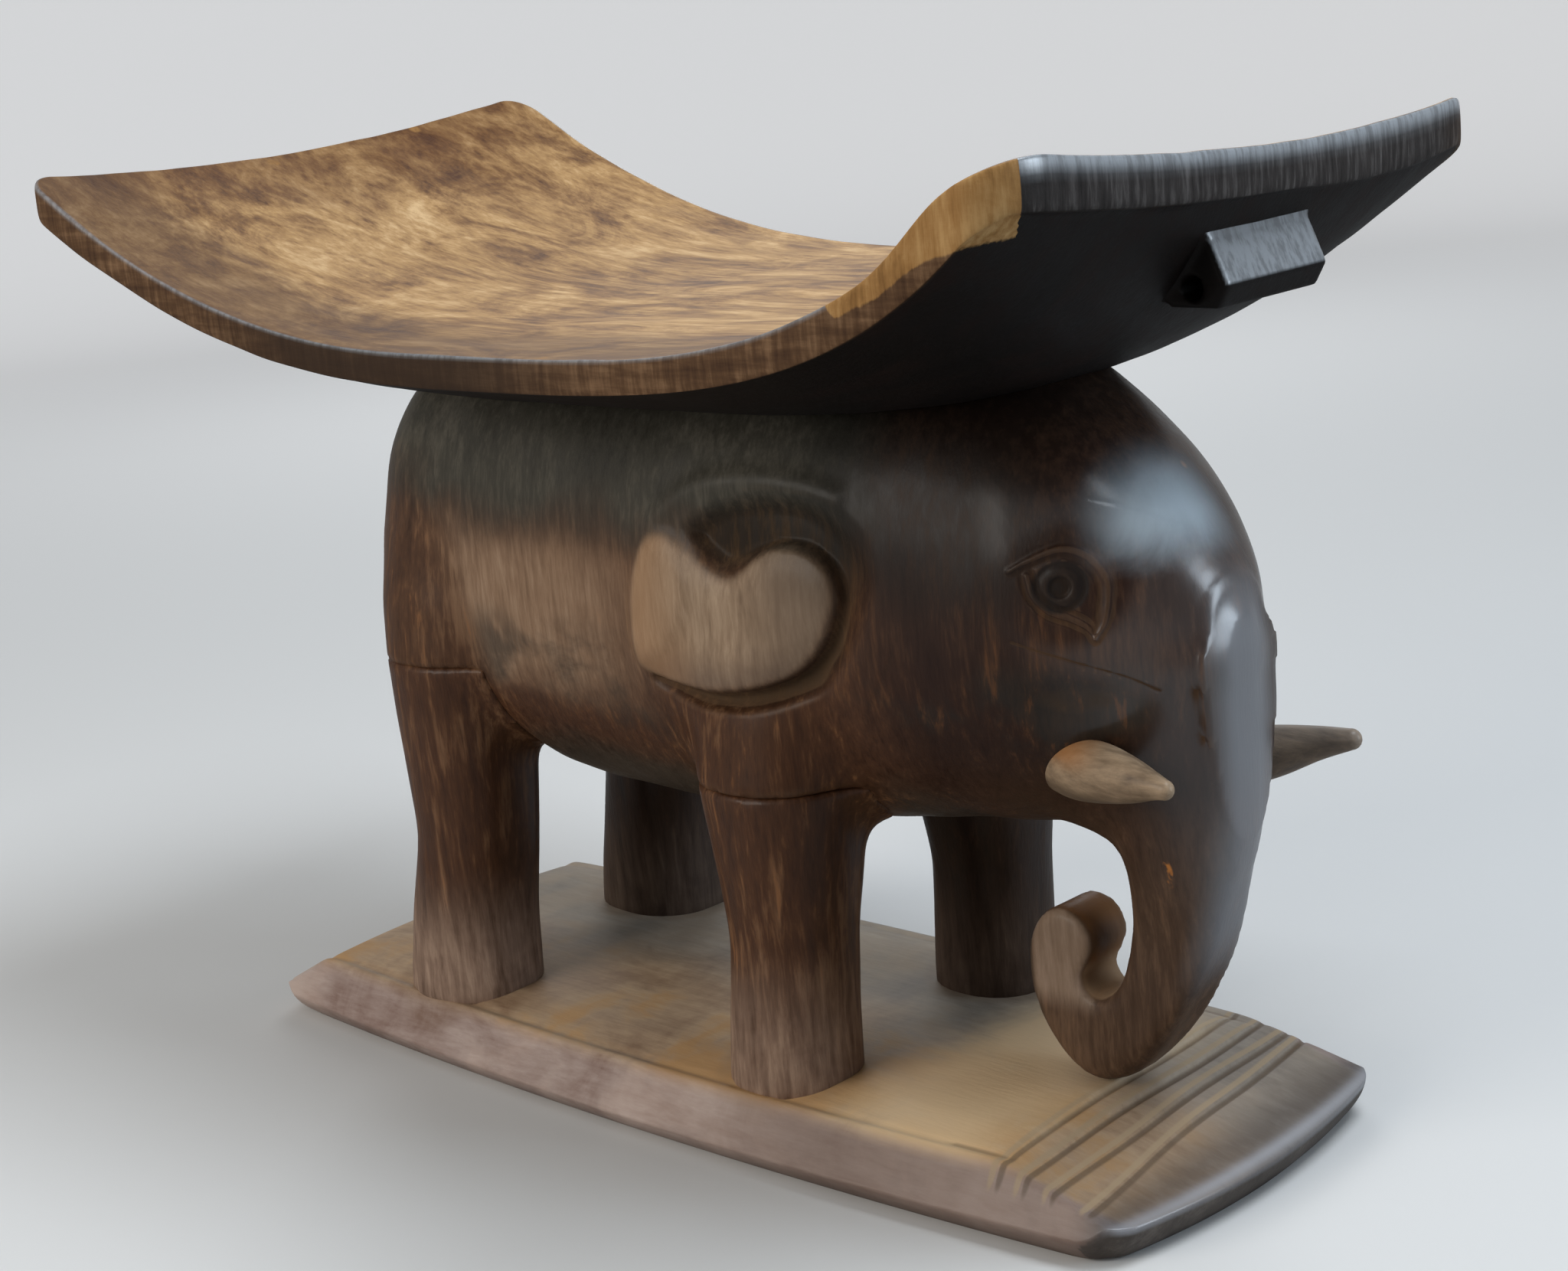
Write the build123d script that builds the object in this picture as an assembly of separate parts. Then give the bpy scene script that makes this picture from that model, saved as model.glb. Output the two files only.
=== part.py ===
from build123d import *
import math
import os

os.makedirs("parts", exist_ok=True)

# A low stool carried by a standing elephant. +X is towards the elephant's head,
# +Y is its left side, +Z is up, and the floor is z = 0. Millimetres.

# Base slab
base_length = 532.0
base_back = 4.0
base_width = 204.0
base_height = 33.0
base_end_bow = 12.0
base_side_bow = 12.0
base_corner = 16.0
base_toe = 10.0
base_toe_inset = 9.0
base_side_bevel = 12.0
base_end_bevel = 36.0
base_crown = 4.0
base_crown_width = 24.0
groove_count = 4
groove_pitch = 18.0
groove_depth = 3.2
groove_from_end = 18.0

# Seat board: the middle stays low and the two ends rise
seat_length = 560.0
seat_width = 306.0
seat_low = 342.0
seat_rear_rise = 80.0
seat_rear_curve = 2.3
seat_front_rise = 70.0
seat_front_curve = 3.7
seat_skew = 6.0
seat_end_bow = 4.0
seat_corner = 14.0
seat_worn_corner = 26.0
seat_hollow = 1.0
seat_end_dish = 14.0
seat_middle_thickness = 38.0
seat_end_thickness = 17.0
seat_rear_swell = 3
seat_front_swell = 14
seat_edge_middle = 8.0
seat_edge_end = 16.0
seat_stations = 13
seat_overrun = 1.08

# Carrying lug under the front end of the seat, pierced across for a cord
lug_end_inset = 5.0
lug_length = 30.0
lug_width = 58.0
lug_above_low = 2.0
lug_bore = 9.0
lug_bore_inset = 8.0
lug_bore_rise = 8.0
lug_bedding = 12.0
lug_round = 3.0

# Legs: x of the middle, half size there, at the foot and at the top, and height of the seam
leg_side_inset = 41.0
leg_spread = base_width / 2 - leg_side_inset
leg_top_inset = 5.0
leg_squareness = 2.6
rear_leg_x = -125.0
rear_leg_waist = 26.5
rear_leg_top = 30.0
rear_foot = 33.0
rear_foot_back = 12.0
rear_seam = 188.0
front_leg_x = 73.0
front_left_ahead = 8.0
front_leg_waist = 25.0
front_leg_top = 34.0
front_foot = 27.5
front_foot_back = 4.0
front_seam = 157.0
waist_share = 0.48
ankle_share = 0.2
haunch_height = 80.0

# Top of a leg on the body: share of the haunch's height, growth of the ring, mm inwards
haunch_rings = (
    (0.0, 1.0, 0.0),
    (0.36, 1.05, 4.0),
    (0.7, 0.96, 13.0),
    (1.0, 0.78, 27.0),
)

# Trunk, hanging from the forehead and curled back towards the feet
trunk_half_width = 14.0
trunk_fillet = 5.0
trunk_dressed = 0.8

# Tusks; the left one is set lower
tusk_root_x = 208.0
tusk_root_y = 45.0
tusk_root_z = 178.0
tusk_tip_x = 267.0
tusk_tip_y = 56.0
tusk_tip_z = 178.0
left_tusk_root_drop = 16.0
left_tusk_tip_drop = 10.0
tusk_root_radius = 12.0
tusk_tip_radius = 4.5
tusk_tip_round = 2.5
tusk_buried = 14.0
tusk_peg_radius = 5.0
tusk_peg_length = 16.0

# Relief of the ear and the eye
ear_relief = 6.0
eye_x = 219.0
eye_z = 247.0
eye_relief = 2.5
eye_long = 14.0
eye_high = 12.0
pupil_radius = 5.0

# Tail in low relief down the rump: its line (x, z), half thickness, and its tuft
tail_line = ((-158.0, 294.0), (-174.0, 270.0), (-183.0, 242.0), (-186.0, 212.0))
tail_radius = 5.5
tuft_radius = 7.5

# Joinery
peg_clearance = 0.1
socket_extra_depth = 1.0
leg_dowel_radius = 6.0
leg_dowel_length = 44.0
foot_peg_radius = 11.0
foot_peg_length = 18.0
seat_tenon_radius = 14.0
seat_tenon_height = 18.0
seat_tenon_root = 12.0
seat_tenon_places = (-70.0, 80.0)

# Body sections from rump to forehead: x, half width, underside over the base, back below
# the seat's low edge
body_sections = (
    (-187.0, 26.0, 151.0, 116.0),
    (-180.0, 48.0, 139.0, 86.0),
    (-163.0, 64.0, 133.0, 55.0),
    (-125.0, 76.0, 120.0, 20.0),
    (-55.0, 80.0, 93.0, 16.0),
    (35.0, 80.0, 90.0, 15.0),
    (105.0, 76.0, 99.0, 13.0),
    (155.0, 69.0, 105.0, 12.0),
    (190.0, 60.0, 112.0, 23.0),
    (216.0, 50.0, 119.0, 42.0),
    (238.0, 39.0, 127.0, 62.0),
    (251.0, 27.0, 139.0, 84.0),
    (257.0, 15.0, 153.0, 102.0),
)
back_squareness = 2.9
belly_squareness = 2.1
section_points = 20

UP = (Align.CENTER, Align.CENTER, Align.MIN)
DOWN = (Align.CENTER, Align.CENTER, Align.MAX)


def superellipse(half_a, half_b, upper, lower=None):
    """Points of |a|^n + |b|^n = 1 scaled to the half sizes; n may differ below the middle."""
    points = []
    for step in range(section_points):
        angle = 2 * math.pi * step / section_points
        cosine = math.cos(angle)
        sine = math.sin(angle)
        power = 2 / (upper if sine > 0 or lower is None else lower)
        a = half_a * math.copysign(abs(cosine) ** power, cosine)
        b = half_b * math.copysign(abs(sine) ** power, sine)
        points.append((a, b))
    return points


def closed_face(points):
    return make_face(Spline(*points, periodic=True))


def ring(x, y, z, along, across):
    """A level section of a leg, its half sizes along and across the stool."""
    outline = superellipse(along, across, leg_squareness)
    return closed_face([(x + a, y + b, z) for a, b in outline])


# ---- seat ----


def seat_rise(share):
    """Height of the seat's side edge at a share of half its length, front positive."""
    if share < 0:
        return seat_low + seat_rear_rise * abs(share) ** seat_rear_curve
    return seat_low + seat_front_rise * share**seat_front_curve


def seat_middle(share):
    """Top and underside of the board on its centre line."""
    bounded = min(abs(share), 1.0)
    top = seat_rise(share) - seat_end_dish * bounded**2 - seat_hollow
    squareness = seat_rear_swell if share < 0 else seat_front_swell
    swell = (seat_middle_thickness - seat_end_thickness) * (1 - bounded**squareness)
    return top, top - seat_end_thickness - swell


def seat_section(share):
    """Across the board: a slightly hollow top, thin upright edges and a bellied underside."""
    x = share * seat_length / 2
    side = seat_width / 2 + seat_corner
    top, underside = seat_middle(share)
    edge_top = seat_rise(share)
    edge = seat_edge_middle + (seat_edge_end - seat_edge_middle) * min(abs(share), 1.0) ** 4
    left_top = (x, side, edge_top)
    right_top = (x, -side, edge_top)
    left_low = (x, side, edge_top - edge)
    right_low = (x, -side, edge_top - edge)
    outline = [
        ThreePointArc(left_top, (x, 0, top), right_top),
        Line(right_top, right_low),
        ThreePointArc(right_low, (x, 0, underside), left_low),
        Line(left_low, left_top),
    ]
    return make_face(outline)


def seat_plan():
    """The board's outline from above: bowed ends, out of square, the front right corner worn."""
    half_l = seat_length / 2
    half_w = seat_width / 2
    front_right = (half_l + seat_skew, -half_w)
    front_left = (half_l - seat_skew, half_w)
    rear_left = (-half_l - seat_skew, half_w)
    rear_right = (-half_l + seat_skew, -half_w)
    outline = [
        ThreePointArc(front_right, (half_l + seat_end_bow, 0), front_left),
        Line(front_left, rear_left),
        ThreePointArc(rear_left, (-half_l - seat_end_bow, 0), rear_right),
        Line(rear_right, front_right),
    ]
    face = make_face(outline)
    corners = face.vertices()
    worn = corners.sort_by(Axis.X)[-2:].sort_by(Axis.Y)[0]
    kept = [corner for corner in corners if corner != worn]
    face = fillet(kept, seat_corner)
    worn = face.vertices().sort_by_distance(worn)[0]
    return fillet(worn, seat_worn_corner)


def make_board():
    last = seat_stations // 2
    shares = [seat_overrun * step / last for step in range(-last, last + 1)]
    slab = loft([seat_section(share) for share in shares])
    top = seat_low + seat_rear_rise + seat_front_rise
    return slab & extrude(seat_plan(), top)


def make_lug():
    """A wedge under the board with a level bottom, bedded in the sloping underside."""
    front = seat_length / 2 - lug_end_inset
    back = front - lug_length
    bottom = seat_low + lug_above_low
    front_top = seat_middle(front / (seat_length / 2))[1] + lug_bedding
    back_top = seat_middle(back / (seat_length / 2))[1] + lug_bedding
    side = Polyline(
        (back, bottom),
        (front, bottom),
        (front, front_top),
        (back, back_top),
        close=True,
    )
    block = extrude(Plane.XZ * make_face(side), lug_width / 2, both=True)
    return fillet(block.edges().group_by(Axis.Z)[0], lug_round)


# ---- elephant's body ----

# Root of the trunk, from the forehead down: the inner point (x, z), the outer point (x, z)
# and half the width across
trunk_root = (
    (186.0, 206.0, 257.0, 206.0, 34.0),
    (187.0, 154.0, 260.0, 166.0, 27.0),
    (204.0, 131.0, 254.0, 126.0, 20.0),
    (208.5, 110.0, 245.0, 100.0, 13.8),
)
trunk_squareness = 3.0

# Side outline of the curl, down the front, round the tip and up inside
trunk_curl = (
    (251.0, 124.0),
    (242.0, 96.0),
    (229.0, 68.0),
    (210.0, 45.0),
    (190.0, base_height - trunk_dressed),
    (174.0, 41.5),
    (156.0, 66.0),
    (157.0, 89.0),
    (172.0, 104.0),
    (187.5, 97.0),
    (186.5, 81.0),
    (194.5, 72.5),
    (203.5, 80.0),
    (209.0, 104.0),
    (204.0, 131.0),
)

# Side outlines of the ear: from the fold's root round the lobe and over the upper fold,
# then back inside the fold
ear_lobe = (
    (58.0, 260.0),
    (70.0, 251.0),
    (82.0, 249.0),
    (94.0, 256.0),
    (110.0, 258.0),
    (123.0, 252.0),
    (126.0, 239.0),
    (117.0, 218.0),
    (99.0, 205.0),
    (70.0, 198.0),
    (40.0, 198.0),
    (22.0, 207.0),
    (19.0, 232.0),
    (33.0, 262.0),
    (54.0, 277.0),
    (85.0, 282.0),
    (112.0, 279.0),
)
ear_hollow = ((112.0, 279.0), (92.0, 275.0), (73.0, 269.0), (58.0, 260.0))


def body_form(extra=0.0):
    """Body and head through the sections, grown outwards by extra."""
    faces = []
    for x, half, over_base, below_seat in body_sections:
        low = base_height + over_base
        high = seat_low - below_seat
        middle = (low + high) / 2
        height = (high - low) / 2 + extra
        outline = superellipse(half + extra, height, back_squareness, belly_squareness)
        faces.append(closed_face([(x, a, middle + b) for a, b in outline]))
    return loft(faces)


def trunk_section(inner_x, inner_z, outer_x, outer_z, half):
    """A rounded section square to the root of the trunk."""
    depth = math.hypot(outer_x - inner_x, outer_z - inner_z)
    along_x = (outer_x - inner_x) / depth
    along_z = (outer_z - inner_z) / depth
    middle_x = (inner_x + outer_x) / 2
    middle_z = (inner_z + outer_z) / 2
    outline = superellipse(depth / 2, half, trunk_squareness)
    points = [(middle_x + a * along_x, b, middle_z + a * along_z) for a, b in outline]
    return closed_face(points)


def make_trunk():
    """The lofted root and the curl with rounded edges, dressed flat where it rests."""
    root = loft([trunk_section(*values) for values in trunk_root])
    outline = Curve() + [Spline(*trunk_curl), Line(trunk_curl[-1], trunk_curl[0])]
    slab = extrude(Plane.XZ * make_face(outline), trunk_half_width, both=True)
    flanks = slab.edges().group_by(Axis.Y)
    rims = [flank.sort_by(SortBy.LENGTH)[-1] for flank in (flanks[0], flanks[-1])]
    curl = fillet(rims, trunk_fillet)
    below = Pos(0, 0, base_height / 2) * Box(seat_length, base_width, base_height)
    return root + curl - below


def make_leg_stub(side, x, half, seam):
    """The top of a leg on the body: it widens into the haunch and sinks in."""
    rings = []
    for share, growth, inwards in haunch_rings:
        y = side * (leg_spread - leg_top_inset - inwards)
        size = half * growth
        rings.append(ring(x, y, seam + share * haunch_height, size, size))
    return loft(rings)


def on_flank(outline, relief, side):
    """A raised patch on one flank: the side outline carried across to the body, grown by relief."""
    prism = extrude(Plane.XZ * outline, -side * seat_width / 2)
    return prism & body_form(relief)


def make_ear(side):
    outline = make_face(Curve() + [Spline(*ear_lobe), Spline(*ear_hollow)])
    return on_flank(outline, ear_relief, side)


def make_tail():
    """A round cord half sunk in the rump, ending in a tuft."""
    path = Plane.XZ * Spline(*tail_line)
    cord = sweep(Plane(origin=path @ 0, z_dir=path % 0) * Circle(tail_radius), path)
    return cord + Pos(path @ 1) * Sphere(tuft_radius)


def make_eye(side):
    """A raised almond with a drilled pupil."""
    almond = Pos(eye_x, eye_z) * Ellipse(eye_long, eye_high)
    pupil = Pos(eye_x, eye_z) * Circle(pupil_radius)
    return on_flank(almond - pupil, eye_relief, side)


# ---- legs and their joints ----


def leg_top(side, x):
    return x, side * (leg_spread - leg_top_inset)


def leg_foot(side, x, back):
    return x - back, side * leg_spread


def make_leg(side, x, back, foot, waist, top, seam):
    """A leg from below the crown of the base to the seam; it flares lengthwise to its foot."""
    top_x, top_y = leg_top(side, x)
    foot_x, foot_y = leg_foot(side, x, back)
    bottom = base_height - base_crown
    height = seam - bottom
    ankle = (foot + waist) / 2
    stations = (
        (0.0, foot, waist),
        (ankle_share, ankle, waist),
        (waist_share, waist, waist),
        (1.0, top, top),
    )
    rings = []
    for share, along, across in stations:
        drift = min(share / waist_share, 1.0)
        ring_x = foot_x + (top_x - foot_x) * drift
        ring_y = foot_y + (top_y - foot_y) * share
        rings.append(ring(ring_x, ring_y, bottom + share * height, along, across))
    return loft(rings)


def foot_peg(side, x, back):
    """The round peg under a foot, its upper half inside the foot."""
    foot_x, foot_y = leg_foot(side, x, back)
    return Pos(foot_x, foot_y, base_height) * Cylinder(foot_peg_radius, 2 * foot_peg_length)


def dowel_hole(side, x, seam):
    top_x, top_y = leg_top(side, x)
    depth = leg_dowel_length + 2 * socket_extra_depth
    return Pos(top_x, top_y, seam) * Cylinder(leg_dowel_radius + peg_clearance, depth)


def make_dowel(side, x, seam):
    top_x, top_y = leg_top(side, x)
    return Pos(top_x, top_y, seam) * Cylinder(leg_dowel_radius, leg_dowel_length)


def foot_socket(side, x, back):
    foot_x, foot_y = leg_foot(side, x, back)
    depth = foot_peg_length + socket_extra_depth
    hole = Cylinder(foot_peg_radius + peg_clearance, depth, align=DOWN)
    return Pos(foot_x, foot_y, base_height) * hole


# What the legs of a pair share: how far back the foot stands, foot, waist and top half
# sizes, seam. Each leg then has its side, its x and its pair's values.
rear_pair = (rear_foot_back, rear_foot, rear_leg_waist, rear_leg_top, rear_seam)
front_pair = (front_foot_back, front_foot, front_leg_waist, front_leg_top, front_seam)
legs = {
    "rear_right": (-1, rear_leg_x, *rear_pair),
    "rear_left": (1, rear_leg_x, *rear_pair),
    "front_right": (-1, front_leg_x, *front_pair),
    "front_left": (1, front_leg_x + front_left_ahead, *front_pair),
}


# ---- tusks ----


def tusk_ends(side):
    """Middle of the root on the cheek, and the tip."""
    root_z = tusk_root_z - (left_tusk_root_drop if side > 0 else 0)
    tip_z = tusk_tip_z - (left_tusk_tip_drop if side > 0 else 0)
    root = Vector(tusk_root_x, side * tusk_root_y, root_z)
    tip = Vector(tusk_tip_x, side * tusk_tip_y, tip_z)
    return root, tip


def tusk_plane(side):
    """Origin at the root, Z along the tusk."""
    root, tip = tusk_ends(side)
    return Plane(origin=root, z_dir=tip - root)


def make_tusk(side):
    """A blunt cone whose root seats in a counterbore, with a peg behind it."""
    root, tip = tusk_ends(side)
    length = (tip - root).length + tusk_buried
    cone = Cone(tusk_root_radius, tusk_tip_radius, length, align=UP)
    cone = fillet(cone.edges().group_by(Axis.Z)[-1], tusk_tip_round)
    peg = Cylinder(tusk_peg_radius, tusk_peg_length, align=DOWN)
    return tusk_plane(side) * (Pos(0, 0, -tusk_buried) * (cone + peg))


def tusk_socket(side):
    """The counterbore for the root and the hole for the peg, both with clearance."""
    mouth_length = tusk_buried + tusk_root_radius * 3
    mouth = Cylinder(tusk_root_radius + peg_clearance, mouth_length, align=UP)
    depth = tusk_peg_length + socket_extra_depth
    hole = Cylinder(tusk_peg_radius + peg_clearance, depth, align=DOWN)
    return tusk_plane(side) * (Pos(0, 0, -tusk_buried) * (mouth + hole))


# ---- seat and body joined by two round tenons ----


def seat_tenon(x, clearance=0.0, extra=0.0):
    """A tenon standing on the elephant's back, up inside the thickness of the board."""
    underside = seat_middle(x / (seat_length / 2))[1]
    height = seat_tenon_height + seat_tenon_root + extra
    middle = underside - seat_tenon_root + height / 2
    return Pos(x, 0, middle) * Cylinder(seat_tenon_radius + clearance, height)


def make_seat():
    bore_x = seat_length / 2 - lug_end_inset - lug_bore_inset
    centre = Pos(bore_x, 0, seat_low + lug_above_low + lug_bore_rise)
    bore = Rot(90, 0, 0) * Cylinder(lug_bore / 2, lug_width)
    return make_board() + make_lug() - centre * bore


def make_body(board):
    body = body_form() + make_trunk() + make_tail()
    for side, x, _, _, _, top, seam in legs.values():
        body += make_leg_stub(side, x, top, seam)
    for side in (-1, 1):
        body += make_ear(side)
        body += make_eye(side)
    body -= board
    for side, x, *_, seam in legs.values():
        body -= dowel_hole(side, x, seam)
    for side in (-1, 1):
        body -= tusk_socket(side)
    for x in seat_tenon_places:
        body += seat_tenon(x)
    return body


# ---- base ----


def base_outline(inset_end, inset_side, height):
    """The slab's outline at one height: bowed on all four sides with round corners."""
    half_l = base_length / 2 - inset_end
    half_w = base_width / 2 - inset_side
    corner_x = half_l - base_end_bow
    corner_y = half_w - base_side_bow
    corners = []
    for turn_x, turn_y in ((1, -1), (1, 1), (-1, 1), (-1, -1)):
        corners.append((turn_x * corner_x, turn_y * corner_y))
    crowns = [(half_l, 0), (0, half_w), (-half_l, 0), (0, -half_w)]
    outline = Curve()
    for index, crown in enumerate(crowns):
        outline += ThreePointArc(corners[index], crown, corners[(index + 1) % 4])
    face = make_face(outline)
    return Pos(0, 0, height) * fillet(face.vertices(), base_corner)


def base_top(x):
    """Height of the slab's top on its centre line: level, crowned off, then bevelled."""
    level_to = base_length / 2 - base_back - base_end_bevel - base_crown_width
    crown = min(max((x - level_to) / base_crown_width, 0), 1) * base_crown
    bevel_rise = base_height - base_crown - base_toe
    bevel = max(x - level_to - base_crown_width, 0) / base_end_bevel * bevel_rise
    return base_height - crown - bevel


def make_groove(x):
    """A V groove across the slab's top, its depth square to the level top."""
    notch = Box(groove_depth * math.sqrt(2), base_width, groove_depth * math.sqrt(2))
    return Pos(x, 0, base_top(x)) * Rot(0, 45, 0) * notch


def make_slab():
    """Undercut at the foot, bevelled on all sides, then crowned to the level top."""
    crown_end = base_end_bevel + base_crown_width
    crown_side = base_side_bevel + base_crown_width
    outlines = (
        (base_toe_inset, base_toe_inset, 0.0),
        (0.0, 0.0, base_toe),
        (base_end_bevel, base_side_bevel, base_height - base_crown),
        (crown_end, crown_side, base_height),
    )
    slab = loft([base_outline(*values) for values in outlines], ruled=True)
    return Pos(-base_back, 0, 0) * slab


def make_base(slab):
    """The slab with grooves across its front and a socket for each foot's peg."""
    front = base_length / 2 - base_back - groove_from_end
    for index in range(groove_count):
        slab -= make_groove(front - index * groove_pitch)
    for side, x, back, *_ in legs.values():
        slab -= foot_socket(side, x, back)
    return slab


# ---- the pieces ----

seat = make_seat()
body = make_body(seat)
for x in seat_tenon_places:
    seat -= seat_tenon(x, peg_clearance, socket_extra_depth)

slab = make_slab()
taken = body_form() + slab
pieces = {"seat": seat, "elephant_body": body, "base": make_base(slab)}
for place, values in legs.items():
    side, x, back, *_, seam = values
    leg = make_leg(*values) - taken + foot_peg(side, x, back)
    pieces[f"{place}_leg"] = leg - dowel_hole(side, x, seam)
    pieces[f"{place}_dowel"] = make_dowel(side, x, seam)
for side, word in ((-1, "right"), (1, "left")):
    pieces[f"{word}_tusk"] = make_tusk(side)

for name, piece in pieces.items():
    export_step(piece, f"parts/{name}.step")
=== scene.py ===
import math

import bmesh
import bpy
import numpy as np
import openvdb
from bpy.props import FloatProperty, FloatVectorProperty, PointerProperty
from mathutils import Matrix, Vector


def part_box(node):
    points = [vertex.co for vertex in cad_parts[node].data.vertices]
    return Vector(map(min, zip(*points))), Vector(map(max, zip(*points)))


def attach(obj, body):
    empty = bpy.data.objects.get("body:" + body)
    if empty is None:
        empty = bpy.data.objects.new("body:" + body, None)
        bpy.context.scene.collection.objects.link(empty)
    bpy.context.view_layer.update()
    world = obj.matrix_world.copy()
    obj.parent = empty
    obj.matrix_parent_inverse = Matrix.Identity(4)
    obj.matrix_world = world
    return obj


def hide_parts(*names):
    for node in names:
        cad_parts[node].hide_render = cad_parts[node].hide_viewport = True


bl_info = {
    "name": "Carved Elephant Stool",
    "version": (1, 0, 0),
    "blender": (4, 5, 0),
    "location": "View3D > Sidebar > Stool",
    "description": "Builds the carved surfaces and finishes of an elephant stool around its CAD frame",
    "category": "Object",
}

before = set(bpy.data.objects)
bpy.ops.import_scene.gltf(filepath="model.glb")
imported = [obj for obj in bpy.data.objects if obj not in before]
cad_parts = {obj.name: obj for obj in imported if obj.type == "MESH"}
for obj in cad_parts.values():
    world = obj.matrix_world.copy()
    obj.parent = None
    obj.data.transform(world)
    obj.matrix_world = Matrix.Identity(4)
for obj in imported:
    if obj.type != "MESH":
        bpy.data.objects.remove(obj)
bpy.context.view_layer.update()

MM = 0.001
SIDES = {"right": -1, "left": 1}
LEGS = {
    "rear_right": ("right", "rear"),
    "rear_left": ("left", "rear"),
    "front_right": ("right", "front"),
    "front_left": ("left", "front"),
}


def node_box(name):
    """Lowest and highest corner of a CAD node, in millimetres."""
    low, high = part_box(name)
    return np.array(low) / MM, np.array(high) / MM


BASE_LOW, BASE_HIGH = node_box("base")
BODY_LOW, BODY_HIGH = node_box("elephant_body")


# ---- whole-array helpers ----


def smoothstep(value, low, high):
    """0 below low, 1 above high and a cubic ease between; low may be above high."""
    t = np.clip((value - low) / (high - low), 0, 1)
    return t * t * (3 - 2 * t)


def smooth_min(a, b, reach):
    """The lesser of two distance fields, rounded over where they differ by less than reach."""
    blend = np.maximum(reach - np.abs(a - b), 0) / reach
    return np.minimum(a, b) - blend * blend * reach / 4


def smooth_max(a, b, reach):
    """The greater of two distance fields, rounded in the same way."""
    return -smooth_min(-a, -b, reach)


def bell(offset, width):
    """1 where the offset is 0 and falling to both sides: exp of minus its square in widths."""
    return np.exp(-((offset / width) ** 2))


def eased_table(values, table, blur):
    """Reads a table of (place, height) at values; corners are averaged over blur on each side."""
    places, heights = np.array(table, float).T
    offsets = np.linspace(-1, 1, 9)
    weights = 1.1 - np.abs(offsets)
    total = sum(w * np.interp(values + o * blur, places, heights) for o, w in zip(offsets, weights))
    return total / weights.sum()


def spline(knots, steps):
    """A Catmull-Rom curve through all knots but the first and the last two, steps points to a span."""
    t = (np.arange(steps) / steps)[None, :, None]
    p0, p1, p2, p3 = (knots[i : len(knots) - 3 + i, None, :] for i in range(4))
    curve = p1 + 0.5 * t * (p2 - p0 + t * (2 * p0 - 5 * p1 + 4 * p2 - p3 + t * (3 * (p1 - p2) + p3 - p0)))
    return curve.reshape(-1, knots.shape[1])


def closed_curve(points, steps=8):
    """A closed Catmull-Rom curve: the last point stands before the first, and the first two follow."""
    knots = np.array(points, float)
    return spline(np.vstack([knots[-1:], knots, knots[:2]]), steps)


def open_curve(points, steps=8):
    """An open Catmull-Rom curve: a point is added past each end, as far out as the next one is in."""
    knots = np.array(points, float)
    padded = np.vstack([2 * knots[:1] - knots[1:2], knots, 2 * knots[-1:] - knots[-2:-1]])
    return np.vstack([spline(padded, steps), knots[-1:]])


def segment_distance(x, z, start, end):
    """Distance from a grid of points to one segment, and how far along it the nearest place is."""
    run_x, run_z = end[0] - start[0], end[1] - start[1]
    length = max(run_x**2 + run_z**2, 1e-9)
    along = np.clip(((x - start[0]) * run_x + (z - start[1]) * run_z) / length, 0, 1)
    return np.hypot(x - start[0] - along * run_x, z - start[1] - along * run_z), along


def outline_distance(x, z, curve):
    """Signed distance to a closed outline, negative inside, by the even-odd rule."""
    distance = np.full(np.broadcast(x, z).shape, 1e9)
    inside = np.zeros(distance.shape, bool)
    for start, end in zip(curve, np.roll(curve, -1, axis=0)):
        distance = np.minimum(distance, segment_distance(x, z, start, end)[0])
        crosses = (start[1] > z) != (end[1] > z)
        if end[1] != start[1]:
            at = start[0] + (z - start[1]) / (end[1] - start[1]) * (end[0] - start[0])
            inside ^= crosses & (x < at)
    return np.where(inside, -distance, distance)


def line_distance(x, z, curve):
    """Distance to an open line and the share of its length at the nearest place."""
    best = np.full(np.broadcast(x, z).shape, 1e9)
    share = np.zeros(best.shape)
    count = len(curve) - 1
    for index in range(count):
        distance, along = segment_distance(x, z, curve[index], curve[index + 1])
        nearer = distance < best
        best = np.where(nearer, distance, best)
        share = np.where(nearer, (index + along) / count, share)
    return best, share


# The eight corners of a cell
CUBE = np.array([(x, y, z) for x in (0, 1) for y in (0, 1) for z in (0, 1)])

# Large odd numbers that scatter the lattice's whole places, for x, y, z, the seed and the last turn
HASH = (73856093, 19349663, 83492791, 2654435761, 1274126177)


def value_noise(points, cell, seed):
    """Smooth noise from -1 to 1: hashed lattice values eased between the corners of each cell."""
    place = points / cell
    corner = np.floor(place).astype(np.int64)
    ease = place - corner
    ease = ease * ease * (3 - 2 * ease)
    total = np.zeros(len(points))
    for step in CUBE:
        x, y, z = (corner + step).T
        key = x * HASH[0] ^ y * HASH[1] ^ z * HASH[2] ^ seed * HASH[3]
        key = (key ^ (key >> 13)) * HASH[4]
        value = ((key ^ (key >> 16)) & 0xFFFF) / 32767.5 - 1
        total += value * np.prod(np.abs(1 - step - ease), axis=1)
    return total


# ---- meshes ----


def new_mesh(name, points, quads):
    """A mesh from points in millimetres and an array of quads."""
    mesh = bpy.data.meshes.new(name)
    mesh.vertices.add(len(points))
    mesh.vertices.foreach_set("co", (points * MM).astype(np.float32).ravel())
    mesh.loops.add(quads.size)
    mesh.loops.foreach_set("vertex_index", quads.astype(np.int32).ravel())
    mesh.polygons.add(len(quads))
    mesh.polygons.foreach_set("loop_start", np.arange(0, quads.size, 4, dtype=np.int32))
    mesh.update(calc_edges=True)
    mesh.validate()
    return mesh


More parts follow.
